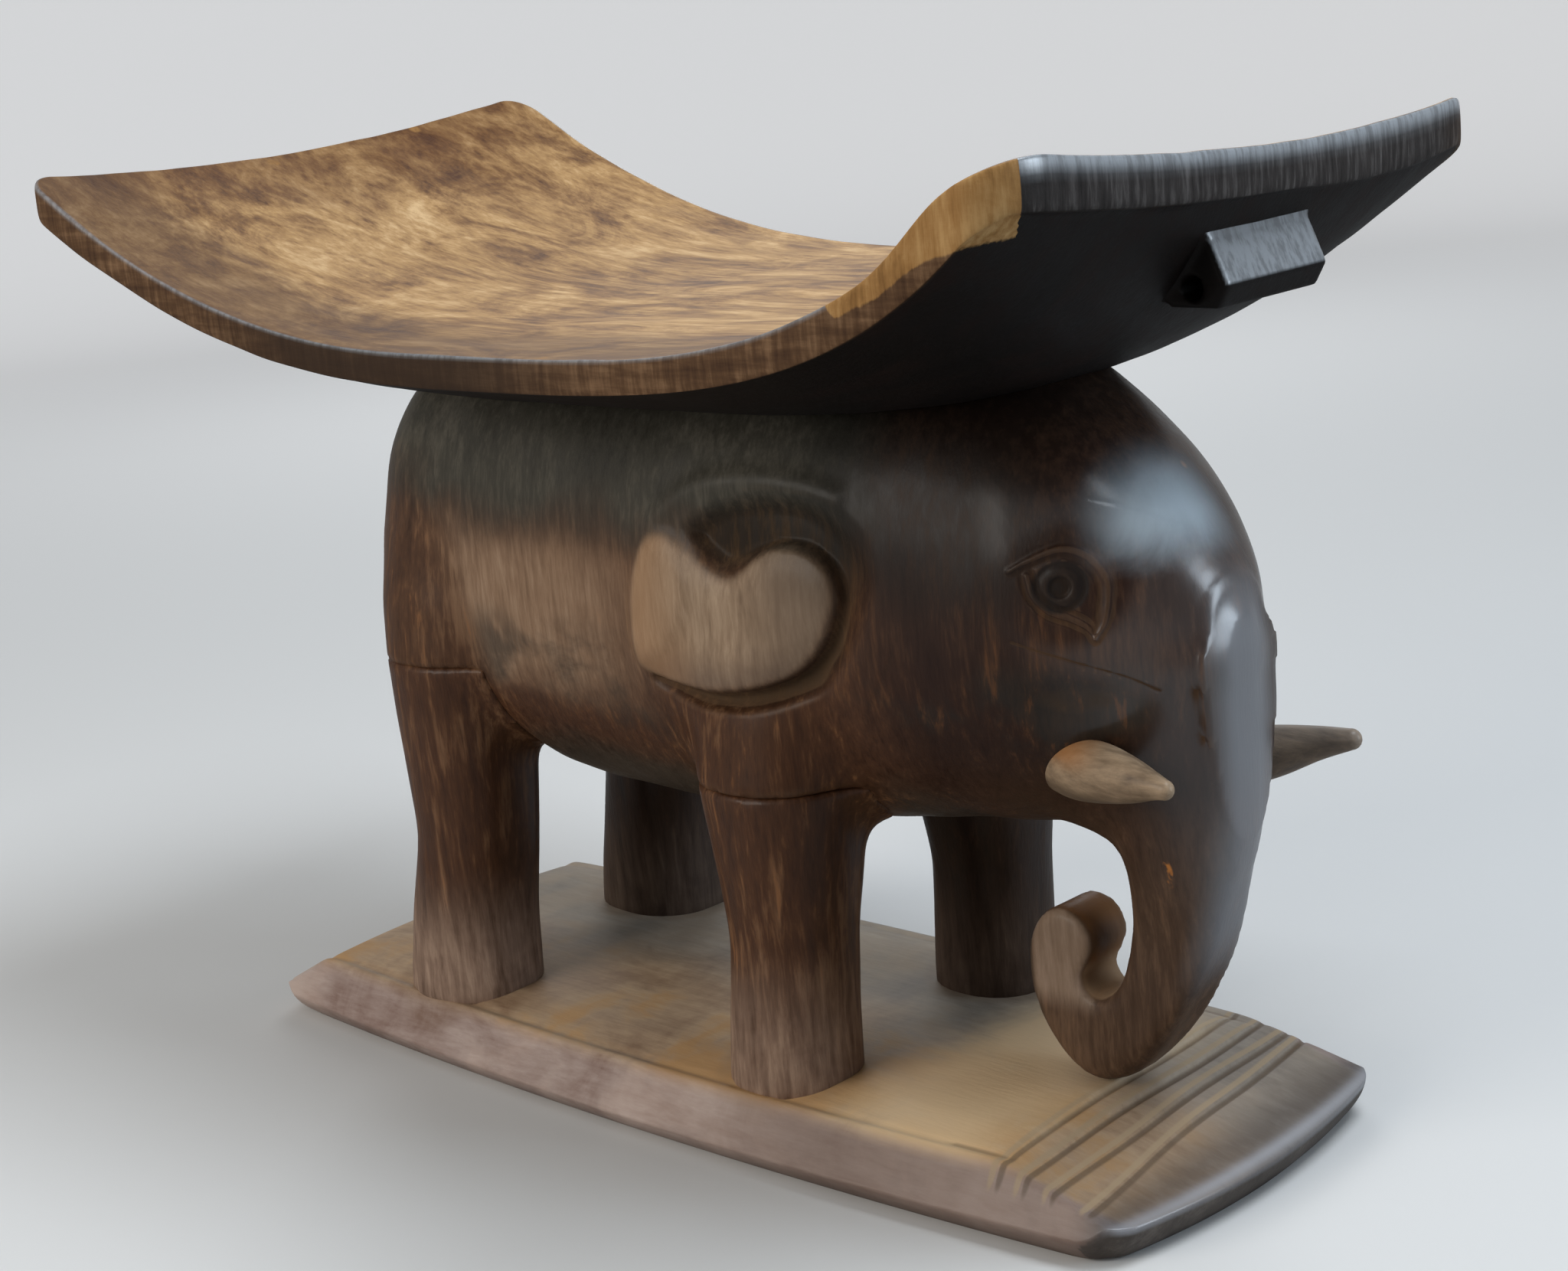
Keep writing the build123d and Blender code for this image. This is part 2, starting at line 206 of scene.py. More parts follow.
def read_points(mesh):
    values = np.empty(len(mesh.vertices) * 3, np.float32)
    mesh.vertices.foreach_get("co", values)
    return values.reshape(-1, 3).astype(float) / MM


def write_points(mesh, points):
    mesh.vertices.foreach_set("co", (points * MM).astype(np.float32).ravel())
    mesh.update()


def read_normals(mesh):
    values = np.empty(len(mesh.vertices) * 3, np.float32)
    mesh.vertex_normals.foreach_get("vector", values)
    return values.reshape(-1, 3).astype(float)


def grid_quads(index):
    """The quads between neighbours of a grid of point numbers, as rows of four."""
    return np.stack([index[:-1, :-1], index[1:, :-1], index[1:, 1:], index[:-1, 1:]], -1).reshape(-1, 4)


def shade_smooth(mesh):
    mesh.polygons.foreach_set("use_smooth", np.ones(len(mesh.polygons), bool))


def refine(mesh, chosen, cuts, easing=3):
    """Divides the faces among the chosen vertices, then eases the new ones into the curve."""
    work = bmesh.new()
    work.from_mesh(mesh)
    edges = [edge for edge in work.edges if all(chosen[corner.index] for corner in edge.verts)]
    made = bmesh.ops.subdivide_edges(work, edges=edges, cuts=cuts, use_grid_fill=True)
    inner = [item for item in made["geom_inner"] if isinstance(item, bmesh.types.BMVert)]
    for _ in range(easing):
        bmesh.ops.smooth_vert(
            work, verts=inner, factor=0.5, use_axis_x=True, use_axis_y=True, use_axis_z=True
        )
    work.to_mesh(mesh)
    work.free()
    mesh.update()


def neighbour_mean(values, edges, count):
    """Mean of a value over the vertices joined by an edge to each vertex."""
    total = np.bincount(edges[:, 0], values[edges[:, 1]], len(count))
    total += np.bincount(edges[:, 1], values[edges[:, 0]], len(count))
    return total / count


def hollowness(mesh, rounds=4):
    """Curvature in 1/mm from how far each vertex lies off its neighbours' mean, then eased.

    It is above 0 in hollows and below 0 on ridges.
    """
    points, normals = read_points(mesh), read_normals(mesh)
    edges = np.empty(len(mesh.edges) * 2, np.int32)
    mesh.edges.foreach_get("vertices", edges)
    edges = edges.reshape(-1, 2)
    count = np.maximum(np.bincount(edges.ravel(), minlength=len(points)), 1)
    length = np.linalg.norm(points[edges[:, 0]] - points[edges[:, 1]], axis=1) ** 2
    spacing = np.bincount(edges[:, 0], length, len(points)) + np.bincount(edges[:, 1], length, len(points))
    offset = np.stack([neighbour_mean(points[:, i], edges, count) for i in range(3)], 1) - points
    bend = 4 * np.sum(offset * normals, axis=1) / np.maximum(spacing / count, 1e-6)
    bend = np.clip(bend, -1, 1)
    for _ in range(rounds):
        bend = 0.4 * bend + 0.6 * neighbour_mean(bend, edges, count)
    return bend


def set_attribute(mesh, key, values):
    """One number to each vertex, for the finishes to read."""
    layer = mesh.attributes.new(key, "FLOAT", "POINT")
    layer.data.foreach_set("value", values.astype(np.float32))


def finish_piece(name, mesh, slot, node):
    """Smooth shading, the curvature attribute and the calls that tie a piece to the frame."""
    shade_smooth(mesh)
    set_attribute(mesh, "hollow", hollowness(mesh))
    mesh.materials.append(material(slot))
    piece = bpy.data.objects.new(name, mesh)
    bpy.context.scene.collection.objects.link(piece)
    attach(piece, "root")
    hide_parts(node)
    return piece


def work_by_hand(mesh, depth, seed, grain=(1, 1, 0.55)):
    """Moves a surface along its normals by two sizes of noise, so that no face is quite true."""
    points = read_points(mesh)
    stretched = points * grain
    uneven = value_noise(stretched, 38.0, seed) + 0.45 * value_noise(stretched, 13.0, seed + 1)
    write_points(mesh, points + read_normals(mesh) * (uneven * depth)[:, None])


def box_blur(field, reach):
    """Mean over a cube of cells, one axis at a time with running sums."""
    for axis in range(3):
        padding = [(reach + 1, reach) if i == axis else (0, 0) for i in range(3)]
        sums = np.cumsum(np.pad(field, padding, mode="edge"), axis=axis, dtype=np.float64)
        width = 2 * reach + 1
        upper = np.take(sums, range(width, sums.shape[axis]), axis=axis)
        lower = np.take(sums, range(0, sums.shape[axis] - width), axis=axis)
        field = ((upper - lower) / width).astype(np.float32)
    return field


def sample(field, place):
    """Trilinear reading of a field at fractional cells."""
    corner = np.clip(np.floor(place).astype(int), 0, np.array(field.shape) - 2)
    total = np.zeros(len(place))
    for step in CUBE:
        weight = np.prod(np.abs(1 - step - (place - corner)), axis=1)
        total += weight * field[tuple((corner + step).T)]
    return total


def field_axes(low, high, cell):
    """Open x, y and z arrays over a box with a margin of three cells."""
    counts = np.ceil((np.array(high) - low) / cell).astype(int) + 6
    starts = np.array(low) - 3 * cell
    axes = [starts[i] + cell * np.arange(counts[i]) for i in range(3)]
    return starts, np.meshgrid(*axes, indexing="ij", sparse=True)


def carve(name, field, starts, cell, shelter_reach=8):
    """The field's zero surface as a mesh, with how far each vertex is sheltered by wood around it."""
    field = np.ascontiguousarray(field, np.float32)
    grid = openvdb.FloatGrid(4 * cell)
    grid.copyFromArray(field)
    cells, _, quads = grid.convertToPolygons(0.0, 0.0)
    mesh = new_mesh(name, cells * cell + starts, quads.astype(np.int64))
    near = np.clip(field, -shelter_reach * cell, shelter_reach * cell)
    set_attribute(mesh, "shelter", -sample(box_blur(near, shelter_reach), cells) / (shelter_reach * cell))
    return mesh


# ---- the elephant ----

# Barrel: places along the stool with the underside, the back and half the width there
BELLY = (
    (-200, 153), (-125, 153), (-97, 141), (-77, 130), (-55, 126),
    (35, 123), (91, 130), (111, 132), (152, 138), (280, 140),
)
BACK = ((-200, 322), (-125, 322), (-55, 326), (105, 329), (155, 330), (280, 330))
FLANK = ((-200, 76), (-125, 76), (-70, 80), (45, 80), (105, 76), (155, 69), (280, 67))
REAR_START, REAR_END, REAR_MIDDLE = -125.0, -187.5, 212.0
FRONT_START, FRONT_END, FRONT_MIDDLE = 155.0, 261.0, 227.0
MIDDLE_HEIGHT = 225.0

# Power by which each end closes, for the flank, the back and the belly
REAR_ROUNDING = {"flank": 2.0, "back": 1.6, "belly": 2.1}
FRONT_ROUNDING = {"flank": 1.9, "back": 1.5, "belly": 2.0}

# Side outline of the trunk from the brow down, round the curl and up the inside
TRUNK = (
    (252, 222), (257.5, 200), (258.5, 180), (258, 156), (253, 127), (244.5, 98), (234, 77), (222, 58),
    (209, 43.5), (197, 35.5), (184, 33.2), (170, 40.5), (160.5, 55), (156.8, 74), (157.5, 88), (163, 98.5),
    (173, 104.5), (184, 101.5), (189.5, 92), (186.5, 83), (183, 76), (188, 69.5), (197.5, 73), (204.5, 85),
    (208.5, 106), (206, 128), (195, 145), (181, 168), (184, 205), (205, 234),
)

# Half the trunk's width at each height
TRUNK_WIDTH = ((20, 14), (100, 14), (122, 17.5), (150, 23), (176, 28), (206, 32), (240, 35))

# The ear on the flank: the lobe, which hangs from a fold and curls over the notch; the rim of the
# hollow that is cut between the two and round the lobe; the fold's ridge
LOBE = (
    (19, 209), (19.4, 225), (21, 235), (25, 248), (32, 258), (42, 261), (52, 257), (61, 250.5), (69, 246),
    (76, 245.5), (83, 249), (90, 254), (98, 257.5), (108, 258), (117, 255.5), (124, 249.5), (126.5, 242),
    (125, 233), (117, 218), (100, 205), (71, 198), (43, 197), (24, 201),
)
EAR_HOLLOW = (
    (50, 263), (60, 271), (73, 277), (92, 280), (110, 279), (128, 275), (141, 265), (147, 250), (145, 235),
    (138, 219), (127, 206), (108, 196), (81, 190), (49, 189.5), (27, 194), (26, 203), (45, 215), (58, 235),
    (54, 250),
)
FOLD = ((34, 262), (45, 271), (58, 278), (74, 281.5), (92, 282.5), (110, 281), (126, 277))

# Lowest and highest x, then lowest and highest z of what the ear takes up in side view
EAR_BOX = (2.0, 156.0, 182.0, 296.0)

# Lines of the eye on the cheek: brow tail, upper lid and tear; lower lid
UPPER_LID = (
    (200.8, 253), (206.8, 256.5), (217.5, 260.5), (226, 257.5),
    (231.6, 250.5), (233, 243), (232, 234), (229, 228),
)
LOWER_LID = ((207, 251.5), (209.6, 244.4), (215, 238.6), (222, 235.5), (227, 232), (229, 228))
EYE = (218.2, 247.0)
EYE_BOX = (192.0, 242.0, 221.0, 268.0)

# Fine drying cracks on the near side
CRACKS = (
    ((201, 227), (219, 220.5), (237, 213), (246, 207)),
    ((153, 226), (146, 211), (131, 191)),
    ((222, 277), (236, 271), (247, 262)),
)
CRACK_WIDTH, CRACK_DEPTH = 0.6, 0.2

# How softly the trunk, the legs and the tail run over into the barrel
TRUNK_BLEND, LEG_BLEND, TAIL_BLEND = 14.0, 16.0, 7.0

# How far the wood runs on into the seat above and into the base below, out of sight
SEAT_SINK, BASE_SINK = 4.0, 3.0

# Depth of the hollows over and under each tusk
CHEEK_HOLLOW = 3.0

# Room for the cells round the body: behind, ahead, to each side, under the slab's top; highest place
ROOM_BEHIND, ROOM_AHEAD, ROOM_SIDE, ROOM_UNDER, ROOM_TOP = 6.0, 9.0, 96.0, 12.0, 340.0

# Where the body takes on a leg's stub: how far off the middle line, and how far round that place
STUB_SIDE, STUB_REACH = 50.0, 110.0

# How far a leg stands over the barrel, and the distances over which its colour runs on into the body
LEG_PROUD = 0.6
LIMB_FADE = (24.0, 5.0)


def barrel_field(x, y, z):
    """Superellipse sections whose half sizes follow tables and close in powers at both ends.

    Each end's half size is the table's times (1 - s^p)^(1/p), s being the share of the way out.
    The field is divided by its slope, so that it reads as a distance near the surface.
    """
    rear = np.clip((REAR_START - x) / (REAR_START - REAR_END), 0, 1)
    front = np.clip((x - FRONT_START) / (FRONT_END - FRONT_START), 0, 1)

    def closing(key):
        power_rear, power_front = REAR_ROUNDING[key], FRONT_ROUNDING[key]
        rear_part = (1 - rear**power_rear) ** (1 / power_rear)
        return np.maximum(rear_part * (1 - front**power_front) ** (1 / power_front), 1e-3)

    rear_share = smoothstep(x, 40, REAR_START)
    front_share = smoothstep(x, 40, 175)
    middle = MIDDLE_HEIGHT + (REAR_MIDDLE - MIDDLE_HEIGHT) * rear_share
    middle = middle + (FRONT_MIDDLE - MIDDLE_HEIGHT) * front_share
    above = (eased_table(x, BACK, 12) - middle) * closing("back")
    below = (middle - eased_table(x, BELLY, 12)) * closing("belly")
    half = eased_table(x, FLANK, 20) * closing("flank")
    height = np.where(z > middle, (z - middle) / above, (middle - z) / below)
    power = np.where(z > middle, 2.9 + 0.5 * rear_share - 0.6 * front_share, 2.15)
    form = (np.abs(y / half) ** power + height**power) ** (1 / power)
    form = np.minimum(form, 6.0)
    slope = np.sqrt(sum(g * g for g in np.gradient(form, x[1, 0, 0] - x[0, 0, 0])))
    return (form - 1) / np.maximum(slope, 4e-3)


def trunk_field(x, y, z):
    """The side outline carried across to a half width that widens up the trunk.

    The arrises are rounded by a radius that is nearly the half width at the root, and small at
    the curl, where the sides are cut flat.
    """
    flat = outline_distance(x[:, :, 0], z[0], closed_curve(TRUNK))[:, None, :]
    half = eased_table(z, TRUNK_WIDTH, 14)
    full = smoothstep(z, 70, 150) * smoothstep(x, 190, 212)
    under = smoothstep(z, 74, 40)
    rounding = (4.6 + 4.5 * under) * (1 - full) + 0.92 * half * full
    a = flat + rounding
    b = np.abs(y) - half + rounding
    outside = np.hypot(np.maximum(a, 0), np.maximum(b, 0))
    return outside + np.minimum(np.maximum(a, b), 0) - rounding


def leg_centre(place):
    """Middle of a leg's seam and the seam's height, from the dowel that crosses it."""
    low, high = node_box(f"{place}_dowel")
    return (low + high) / 2


# Shaft of a leg: share of its height, half size along, half size across, drift back
LEG_SHAPE = {
    "rear": ((0.0, 33, 26.5, -12), (0.2, 29.5, 26.5, -9), (0.48, 26.5, 26.5, 0), (1.0, 32, 32, 0)),
    "front": ((0.0, 27.5, 25, -4), (0.2, 26, 25, -3), (0.48, 25, 25, 0), (1.0, 34, 33, 0)),
}

# Haunch above the seam: share of its height, growth of the shaft's size, drift inwards
HAUNCH = ((0.0, 1.0, 0.0), (0.36, 1.01, 5.0), (0.7, 0.95, 14.0), (1.0, 0.8, 27.0))
HAUNCH_HEIGHT = 80.0
LEG_LEAN = 5.0
LEG_POWER = 2.3
LEG_BLUR = 0.09

# How far the leg's mesh laps over its seam
LAP = 1.2


def leg_field(place, x, y, z):
    """A leg's shaft below its seam and the haunch that it widens into above."""
    side, end = LEGS[place]
    sign = SIDES[side]
    centre = leg_centre(place)
    bottom = BASE_HIGH[2]
    share = (z - bottom) / (centre[2] - bottom)
    above = np.clip((z - centre[2]) / HAUNCH_HEIGHT, 0, 1)
    shape = np.array(LEG_SHAPE[end], float)
    growth = eased_table(above, [(h[0], h[1]) for h in HAUNCH], 0.08)
    inwards = eased_table(above, [(h[0], h[2]) for h in HAUNCH], 0.08)
    along = eased_table(share, shape[:, (0, 1)], LEG_BLUR) * growth
    across = eased_table(share, shape[:, (0, 2)], LEG_BLUR) * growth
    middle_x = centre[0] + eased_table(share, shape[:, (0, 3)], LEG_BLUR)
    lean = LEG_LEAN * np.clip(1 - share, 0, 1)
    middle_y = centre[1] + sign * (lean - inwards)
    form = np.abs((x - middle_x) / along) ** LEG_POWER + np.abs((y - middle_y) / across) ** LEG_POWER
    column = (form ** (1 / LEG_POWER) - 1) * np.minimum(along, across)
    return smooth_max(column, z - centre[2] - HAUNCH_HEIGHT, 20)


def ear_relief(x, z, rise, cut):
    """The lobe swells by rise, the fold is a soft ridge and a hollow is cut beside the lobe.

    Returns the height over the flank and how deep in the hollow each place is, from 0 to 1.
    """
    edge = outline_distance(x, z, closed_curve(LOBE))
    rim = outline_distance(x, z, closed_curve(EAR_HOLLOW))
    swell = 1 - (1 - np.clip(-edge / 15, 0, 1)) ** 2.2
    outer = smoothstep(edge, 3.5, -1.0) * smoothstep(rim, -2, 6)
    fold = bell(line_distance(x, z, open_curve(FOLD))[0], 5.2)
    bank = 10 + 7 * smoothstep(x, 108, 132) - 3.5 * smoothstep(z, 214, 200)
    soft = 2.4 + 5 * smoothstep(x, 96, 74) * smoothstep(z, 236, 246)
    sunk = smoothstep(edge, -1.6, soft) * smoothstep(rim, 0, -bank)
    raised = rise * (0.35 * outer + swell + 0.55 * fold * smoothstep(edge, -8, 3))
    return raised * (1 - 0.8 * sunk) - cut * sunk, sunk


def eye_relief(x, z, rise):
    """Lids as ridges with a groove beside them, a ring round the pupil and a drilled pupil.

    Returns the height and how deep in a groove each place is, from 0 to 1.
    """
    upper, upper_share = line_distance(x, z, open_curve(UPPER_LID))
    lower, lower_share = line_distance(x, z, open_curve(LOWER_LID))
    upper_width = 0.6 + 0.9 * np.sin(np.pi * np.clip(upper_share, 0.08, 0.92))
    lower_width = 0.6 + 0.7 * np.sin(np.pi * np.clip(lower_share, 0.08, 0.92))
    lids = bell(upper, upper_width) + 0.8 * bell(lower, lower_width)
    beside = np.minimum(np.abs(upper - 2.5), np.abs(lower - 2.3))
    groove = bell(beside, 0.9) * (1 - np.clip(lids, 0, 1))
    ball = np.hypot((x - EYE[0]) / 0.95, z - EYE[1])
    near = smoothstep(ball, 19, 13)
    iris = bell(ball - 8.2, 1.1)
    pupil = smoothstep(ball, 4.6, 3.0)
    dome = 0.5 * smoothstep(ball, 12, 3)
    deep = np.maximum(np.maximum(groove * near * 0.8, iris * 0.6), pupil)
    return rise * (lids + dome - 0.5 * groove * near - 0.45 * iris - 1.3 * pupil), deep


def cheek_hollow(x, y, z):
    """Worked hollows above and below each tusk's root."""
    depth = np.zeros(np.broadcast(x, y, z).shape)
    for side, sign in SIDES.items():
        drop = TUSKS[side][0][2] - TUSKS["right"][0][2]
        out = (y * sign - 46) / 26
        above = np.sqrt(((x - 218) / 26) ** 2 + ((z - 204 - drop) / 13) ** 2 + out**2)
        below = np.sqrt(((x - 214) / 20) ** 2 + ((z - 156 - drop) / 12) ** 2 + out**2)
        depth = depth + CHEEK_HOLLOW * (smoothstep(above, 1.0, 0.2) + smoothstep(below, 1.0, 0.2))
    return depth


def tail_field(x, y, z):
    """A short tail in low relief down the rump, thicker at its tuft."""
    line = ((-168, 293), (-179, 268), (-186, 240), (-187, 212))
    distance, share = line_distance(x[:, :, 0], z[0], open_curve(line))
    distance, share = distance[:, None, :], share[:, None, :]
    girth = 5.5 + 2.3 * smoothstep(share, 0.7, 0.95)
    return np.sqrt(distance**2 + y**2) - girth


def elephant_fields(cell):
    """Body without its fine relief, and each leg cut by the barrel and the base, as distance fields."""
    low = (BODY_LOW[0] - ROOM_BEHIND, -ROOM_SIDE, BASE_HIGH[2] - ROOM_UNDER)
    high = (BODY_HIGH[0] + ROOM_AHEAD, ROOM_SIDE, ROOM_TOP)
    starts, (x, y, z) = field_axes(low, high, cell)
    barrel = barrel_field(x, y, z)
    trunk = trunk_field(x, y, z)
    body = smooth_min(barrel, trunk, TRUNK_BLEND)
    legs = {place: leg_field(place, x, y, z) for place in LEGS}
    for place, leg in legs.items():
        stub = smooth_min(body, leg, LEG_BLEND)
        centre_x, _, seam = leg_centre(place)
        near = np.abs(y * SIDES[LEGS[place][0]] - STUB_SIDE) + np.abs(x - centre_x)
        body = np.where(near < STUB_REACH, np.minimum(body, np.maximum(stub, seam - z)), body)
    body = body + cheek_hollow(x, y, z)
    body = smooth_min(body, tail_field(x, y, z), TAIL_BLEND)
    body = np.maximum(body, z - seat_underside(x, y) - SEAT_SINK)
    floor = base_top(x, y) - BASE_SINK - z
    body = np.maximum(body, floor)
    cut = {}
    for place, leg in legs.items():
        flared = smooth_min(barrel, leg, LEG_BLEND)
        shaft = np.maximum(flared, LEG_PROUD - (barrel - flared))
        shaft = np.maximum(shaft, z - leg_centre(place)[2] - LAP)
        cut[place] = np.maximum(shaft, floor)
    return body, cut, np.minimum.reduce(list(legs.values())), starts


def in_box(points, box):
    """Which points lie in a side view's box."""
    x, z = points[:, 0], points[:, 2]
    return (x > box[0]) & (x < box[1]) & (z > box[2]) & (z < box[3])


def crack_distance(points):
    """Distance in side view to the nearest crack of the near side."""
    nearest = np.full(len(points), 99.0)
    for crack in CRACKS:
        nearest = np.minimum(nearest, line_distance(points[:, 0], points[:, 2], open_curve(crack))[0])
    return np.where(points[:, 1] < -4, nearest, 99.0)


def carve_relief(mesh, sizes):
    """Divides the mesh finely at the ears, eyes and cracks, then cuts them along the normals."""
    points = read_points(mesh)
    flank = (np.abs(points[:, 1]) > 38) & (np.abs(read_normals(mesh)[:, 1]) > 0.35)
    refine(mesh, flank & in_box(points, EAR_BOX), 1)
    points = read_points(mesh)
    eyes = in_box(points, EYE_BOX) & (np.abs(points[:, 1]) > 16)
    refine(mesh, eyes | ((crack_distance(points) < 4) & ~in_box(points, EAR_BOX)), 3)
    points, normals = read_points(mesh), read_normals(mesh)
    x, z = points[:, 0], points[:, 2]
    ear, sunk = ear_relief(x, z, sizes.ear_relief / MM, sizes.ear_hollow / MM)
    eye, deep = eye_relief(x, z, sizes.eye_relief / MM)
    on_flank = smoothstep(np.abs(points[:, 1]), 34, 46) * smoothstep(np.abs(normals[:, 1]), 0.3, 0.55)
    on_flank = on_flank * in_box(points, EAR_BOX)
    on_cheek = in_box(points, EYE_BOX) * smoothstep(np.abs(points[:, 1]), 14, 20)
    crack = bell(crack_distance(points), CRACK_WIDTH)
    height = ear * on_flank + eye * on_cheek - CRACK_DEPTH * crack
    write_points(mesh, points + normals * height[:, None])
    set_attribute(mesh, "recess", np.clip(sunk * on_flank + deep * on_cheek, 0, 1))
    set_attribute(mesh, "crack", crack)
    set_attribute(mesh, "lobe", smoothstep(outline_distance(x, z, closed_curve(LOBE)), 1, -5) * on_flank)


# Tusks: places on the centre line with the radius there, from inside the cheek to the tip
TUSKS = {
    "right": (
        (200, -33, 174, 12), (214, -41, 175.5, 12), (230, -47.5, 177.5, 11),
        (246, -52.5, 178.5, 8.4), (258, -55.5, 178.8, 5.2), (263, -56.5, 178.6, 4.0),
    ),
    "left": (
        (200, 37, 153, 12), (216, 44, 156, 12), (234, 50.5, 159.5, 10.5),
        (252, 54.5, 164, 7.0), (267.5, 56.6, 167.2, 4.2),
    ),
}

# Depth of the tusks' tool marks, and their thickness across to that up and down
TUSK_MARKS, TUSK_FLATNESS = 0.5, 0.92


def tusk_mesh(name, stations):
    """Rings round a smooth centre line; past the last station they close as a half ball."""
    line = open_curve(stations, 12)
    centre, radius = line[:, :3], line[:, 3]
    along = np.gradient(centre, axis=0)
    along = along / np.linalg.norm(along, axis=1, keepdims=True)
    cap = np.linspace(0.12, 1, 9) * math.pi / 2
    centre = np.vstack([centre, centre[-1] + along[-1] * radius[-1] * np.sin(cap)[:, None]])
    radius = np.concatenate([radius, radius[-1] * np.maximum(np.cos(cap), 0.02)])
    along = np.vstack([along, np.repeat(along[-1:], len(cap), 0)])
    side = np.cross(along, (0.0, 0.0, 1.0))
    side = side / np.linalg.norm(side, axis=1, keepdims=True)
    up = np.cross(side, along)
    turn = np.linspace(0, 2 * math.pi, 56, endpoint=False)
    ring = side[:, None] * np.cos(turn)[:, None] * TUSK_FLATNESS + up[:, None] * np.sin(turn)[:, None]
    points = (centre[:, None] + ring * radius[:, None, None]).reshape(-1, 3)
    index = np.arange(len(points)).reshape(len(radius), -1)
    wrapped = np.column_stack([index, index[:, 0]])
    mesh = new_mesh(name, points, np.roll(grid_quads(wrapped)[:, ::-1], 1, axis=1))
    work = bmesh.new()
    work.from_mesh(mesh)
    bmesh.ops.holes_fill(work, edges=[edge for edge in work.edges if edge.is_boundary], sides=0)
    bmesh.ops.recalc_face_normals(work, faces=work.faces)
    work.to_mesh(mesh)
    work.free()
    return mesh


# ---- seat and base surfaces ----

SEAT_HALF_LENGTH, SEAT_HALF_WIDTH = 280.0, 153.0
SEAT_EDGE_LOW = 342.0
SEAT_SKEW, SEAT_BOW = 6.0, 4.0

# Length and width of each rounded corner, by the sides of x and y that it lies on
SEAT_CORNERS = {
    (1, -1): (15.0, 28.0), (1, 1): (14.0, 14.0), (-1, 1): (14.0, 14.0), (-1, -1): (12.0, 12.0),
}

# How far each end rises over the middle, and the power of its curve
REAR_RISE, REAR_CURVE = 80.0, 2.3
FRONT_RISE, FRONT_CURVE = 70.0, 3.7

# Dish: its depth in the middle, what it gains at the ends, and half the width where it would run out
DISH, DISH_GAIN, DISH_HALF = 1.0, 14.0, 167.0

# The board's thickness down its middle line at the ends, and what it gains between them
END_THICKNESS, THICKNESS_GAIN = 17.0, 21.0
EDGE_THICKNESS = 8.0


def seat_rise(share):
    """Height of the side edge at a share of half the length: a power curve to each end."""
    rear = REAR_RISE * np.abs(np.minimum(share, 0)) ** REAR_CURVE
    front = FRONT_RISE * np.maximum(share, 0) ** FRONT_CURVE
    return SEAT_EDGE_LOW + rear + front


def seat_top(x, y):
    """The side edge's height less a dish that deepens to the ends, parabolic across.

    The near front corner stands a little prouder where the wood is left beside its worn edge.
    """
    share = np.clip(x / SEAT_HALF_LENGTH, -1.05, 1.05)
    dish = DISH_GAIN * np.clip(share, -1, 1) ** 2 + DISH
    corner = 5.5 * bell(x - 256, 17) * smoothstep(y, -96, -146)
    return seat_rise(share) - dish * (1 - (y / DISH_HALF) ** 2) + corner


def seat_edge(x):
    """Thickness of the side edge: thin in the middle and twice that at the ends."""
    return EDGE_THICKNESS * (1 + np.clip(np.abs(x) / SEAT_HALF_LENGTH, 0, 1) ** 4)


def seat_underside(x, y):
    """A belly hanging from the two side edges, parabolic across."""
    share = np.clip(x / SEAT_HALF_LENGTH, -1, 1)
    power = np.where(share < 0, 3.0, 14.0)
    thickness = END_THICKNESS + THICKNESS_GAIN * (1 - np.abs(share) ** power)
    middle = seat_top(x, 0) - thickness
    edge = seat_rise(share) - seat_edge(x)
    across = np.clip(1 - (y / DISH_HALF) ** 2, 0, 1)
    return edge + (middle - edge) * across


BASE_BEVEL_END, BASE_BEVEL_SIDE = 36.0, 12.0
BASE_CROWN, BASE_CROWN_WIDTH = 4.0, 24.0
BASE_TOE = 10.0
BASE_BOW, BASE_CORNER, BASE_UNDERCUT = 12.0, 16.0, 9.0

# Risers of the worn stair across the front: place on the left side and on the right side
RISERS = ((188, 195), (200.5, 207), (211, 221), (219, 237))
RISER = 2.4
STAIR_START = 178.0


def base_slope(inset, bevel):
    """Height at a distance in from the edge: from the toe up the bevel, over the crown, then level."""
    level = BASE_HIGH[2]
    table = ((0, BASE_TOE), (bevel, level - BASE_CROWN), (bevel + BASE_CROWN_WIDTH, level))
    return eased_table(inset, table, 2.5)


def base_half_sizes(x, y):
    """Half length at y and half width at x of the slab's bowed outline."""
    middle = (BASE_LOW + BASE_HIGH) / 2
    half = (BASE_HIGH - BASE_LOW) / 2
    u, v = (x - middle[0]) / half[0], (y - middle[1]) / half[1]
    bow_x, bow_y = (BASE_BOW * np.clip(np.abs(share), 0, 1) ** 2 for share in (v, u))
    return half[0] - bow_x, half[1] - bow_y


def riser_line(left, right, y):
    """Place of a riser at y: straight from side to side with a hand's waver."""
    return left + (right - left) * (78 - y) / 168 + 0.7 * np.sin(y / 17 + left)


def base_stair(x, y, inset):
    """Four low risers with a cut line at each foot, then a plain slope to the front arris."""
    height = BASE_HIGH[2] + 0 * x * y
    for left, right in RISERS:
        line = riser_line(left, right, y)
        height = height - RISER * smoothstep(x - line, -0.9, 0.9)
        height = height - 0.9 * bell(x - line - 1.8, 1.5)
        height = height + 0.5 * bell(x - line + 2.2, 2)
    toe = np.where(inset > 4, 16.5 + (inset - 4) * 0.245, 14.5 + 2 * np.sqrt(np.clip(inset, 0, 4) / 4))
    return smooth_min(height, toe, 1.2)


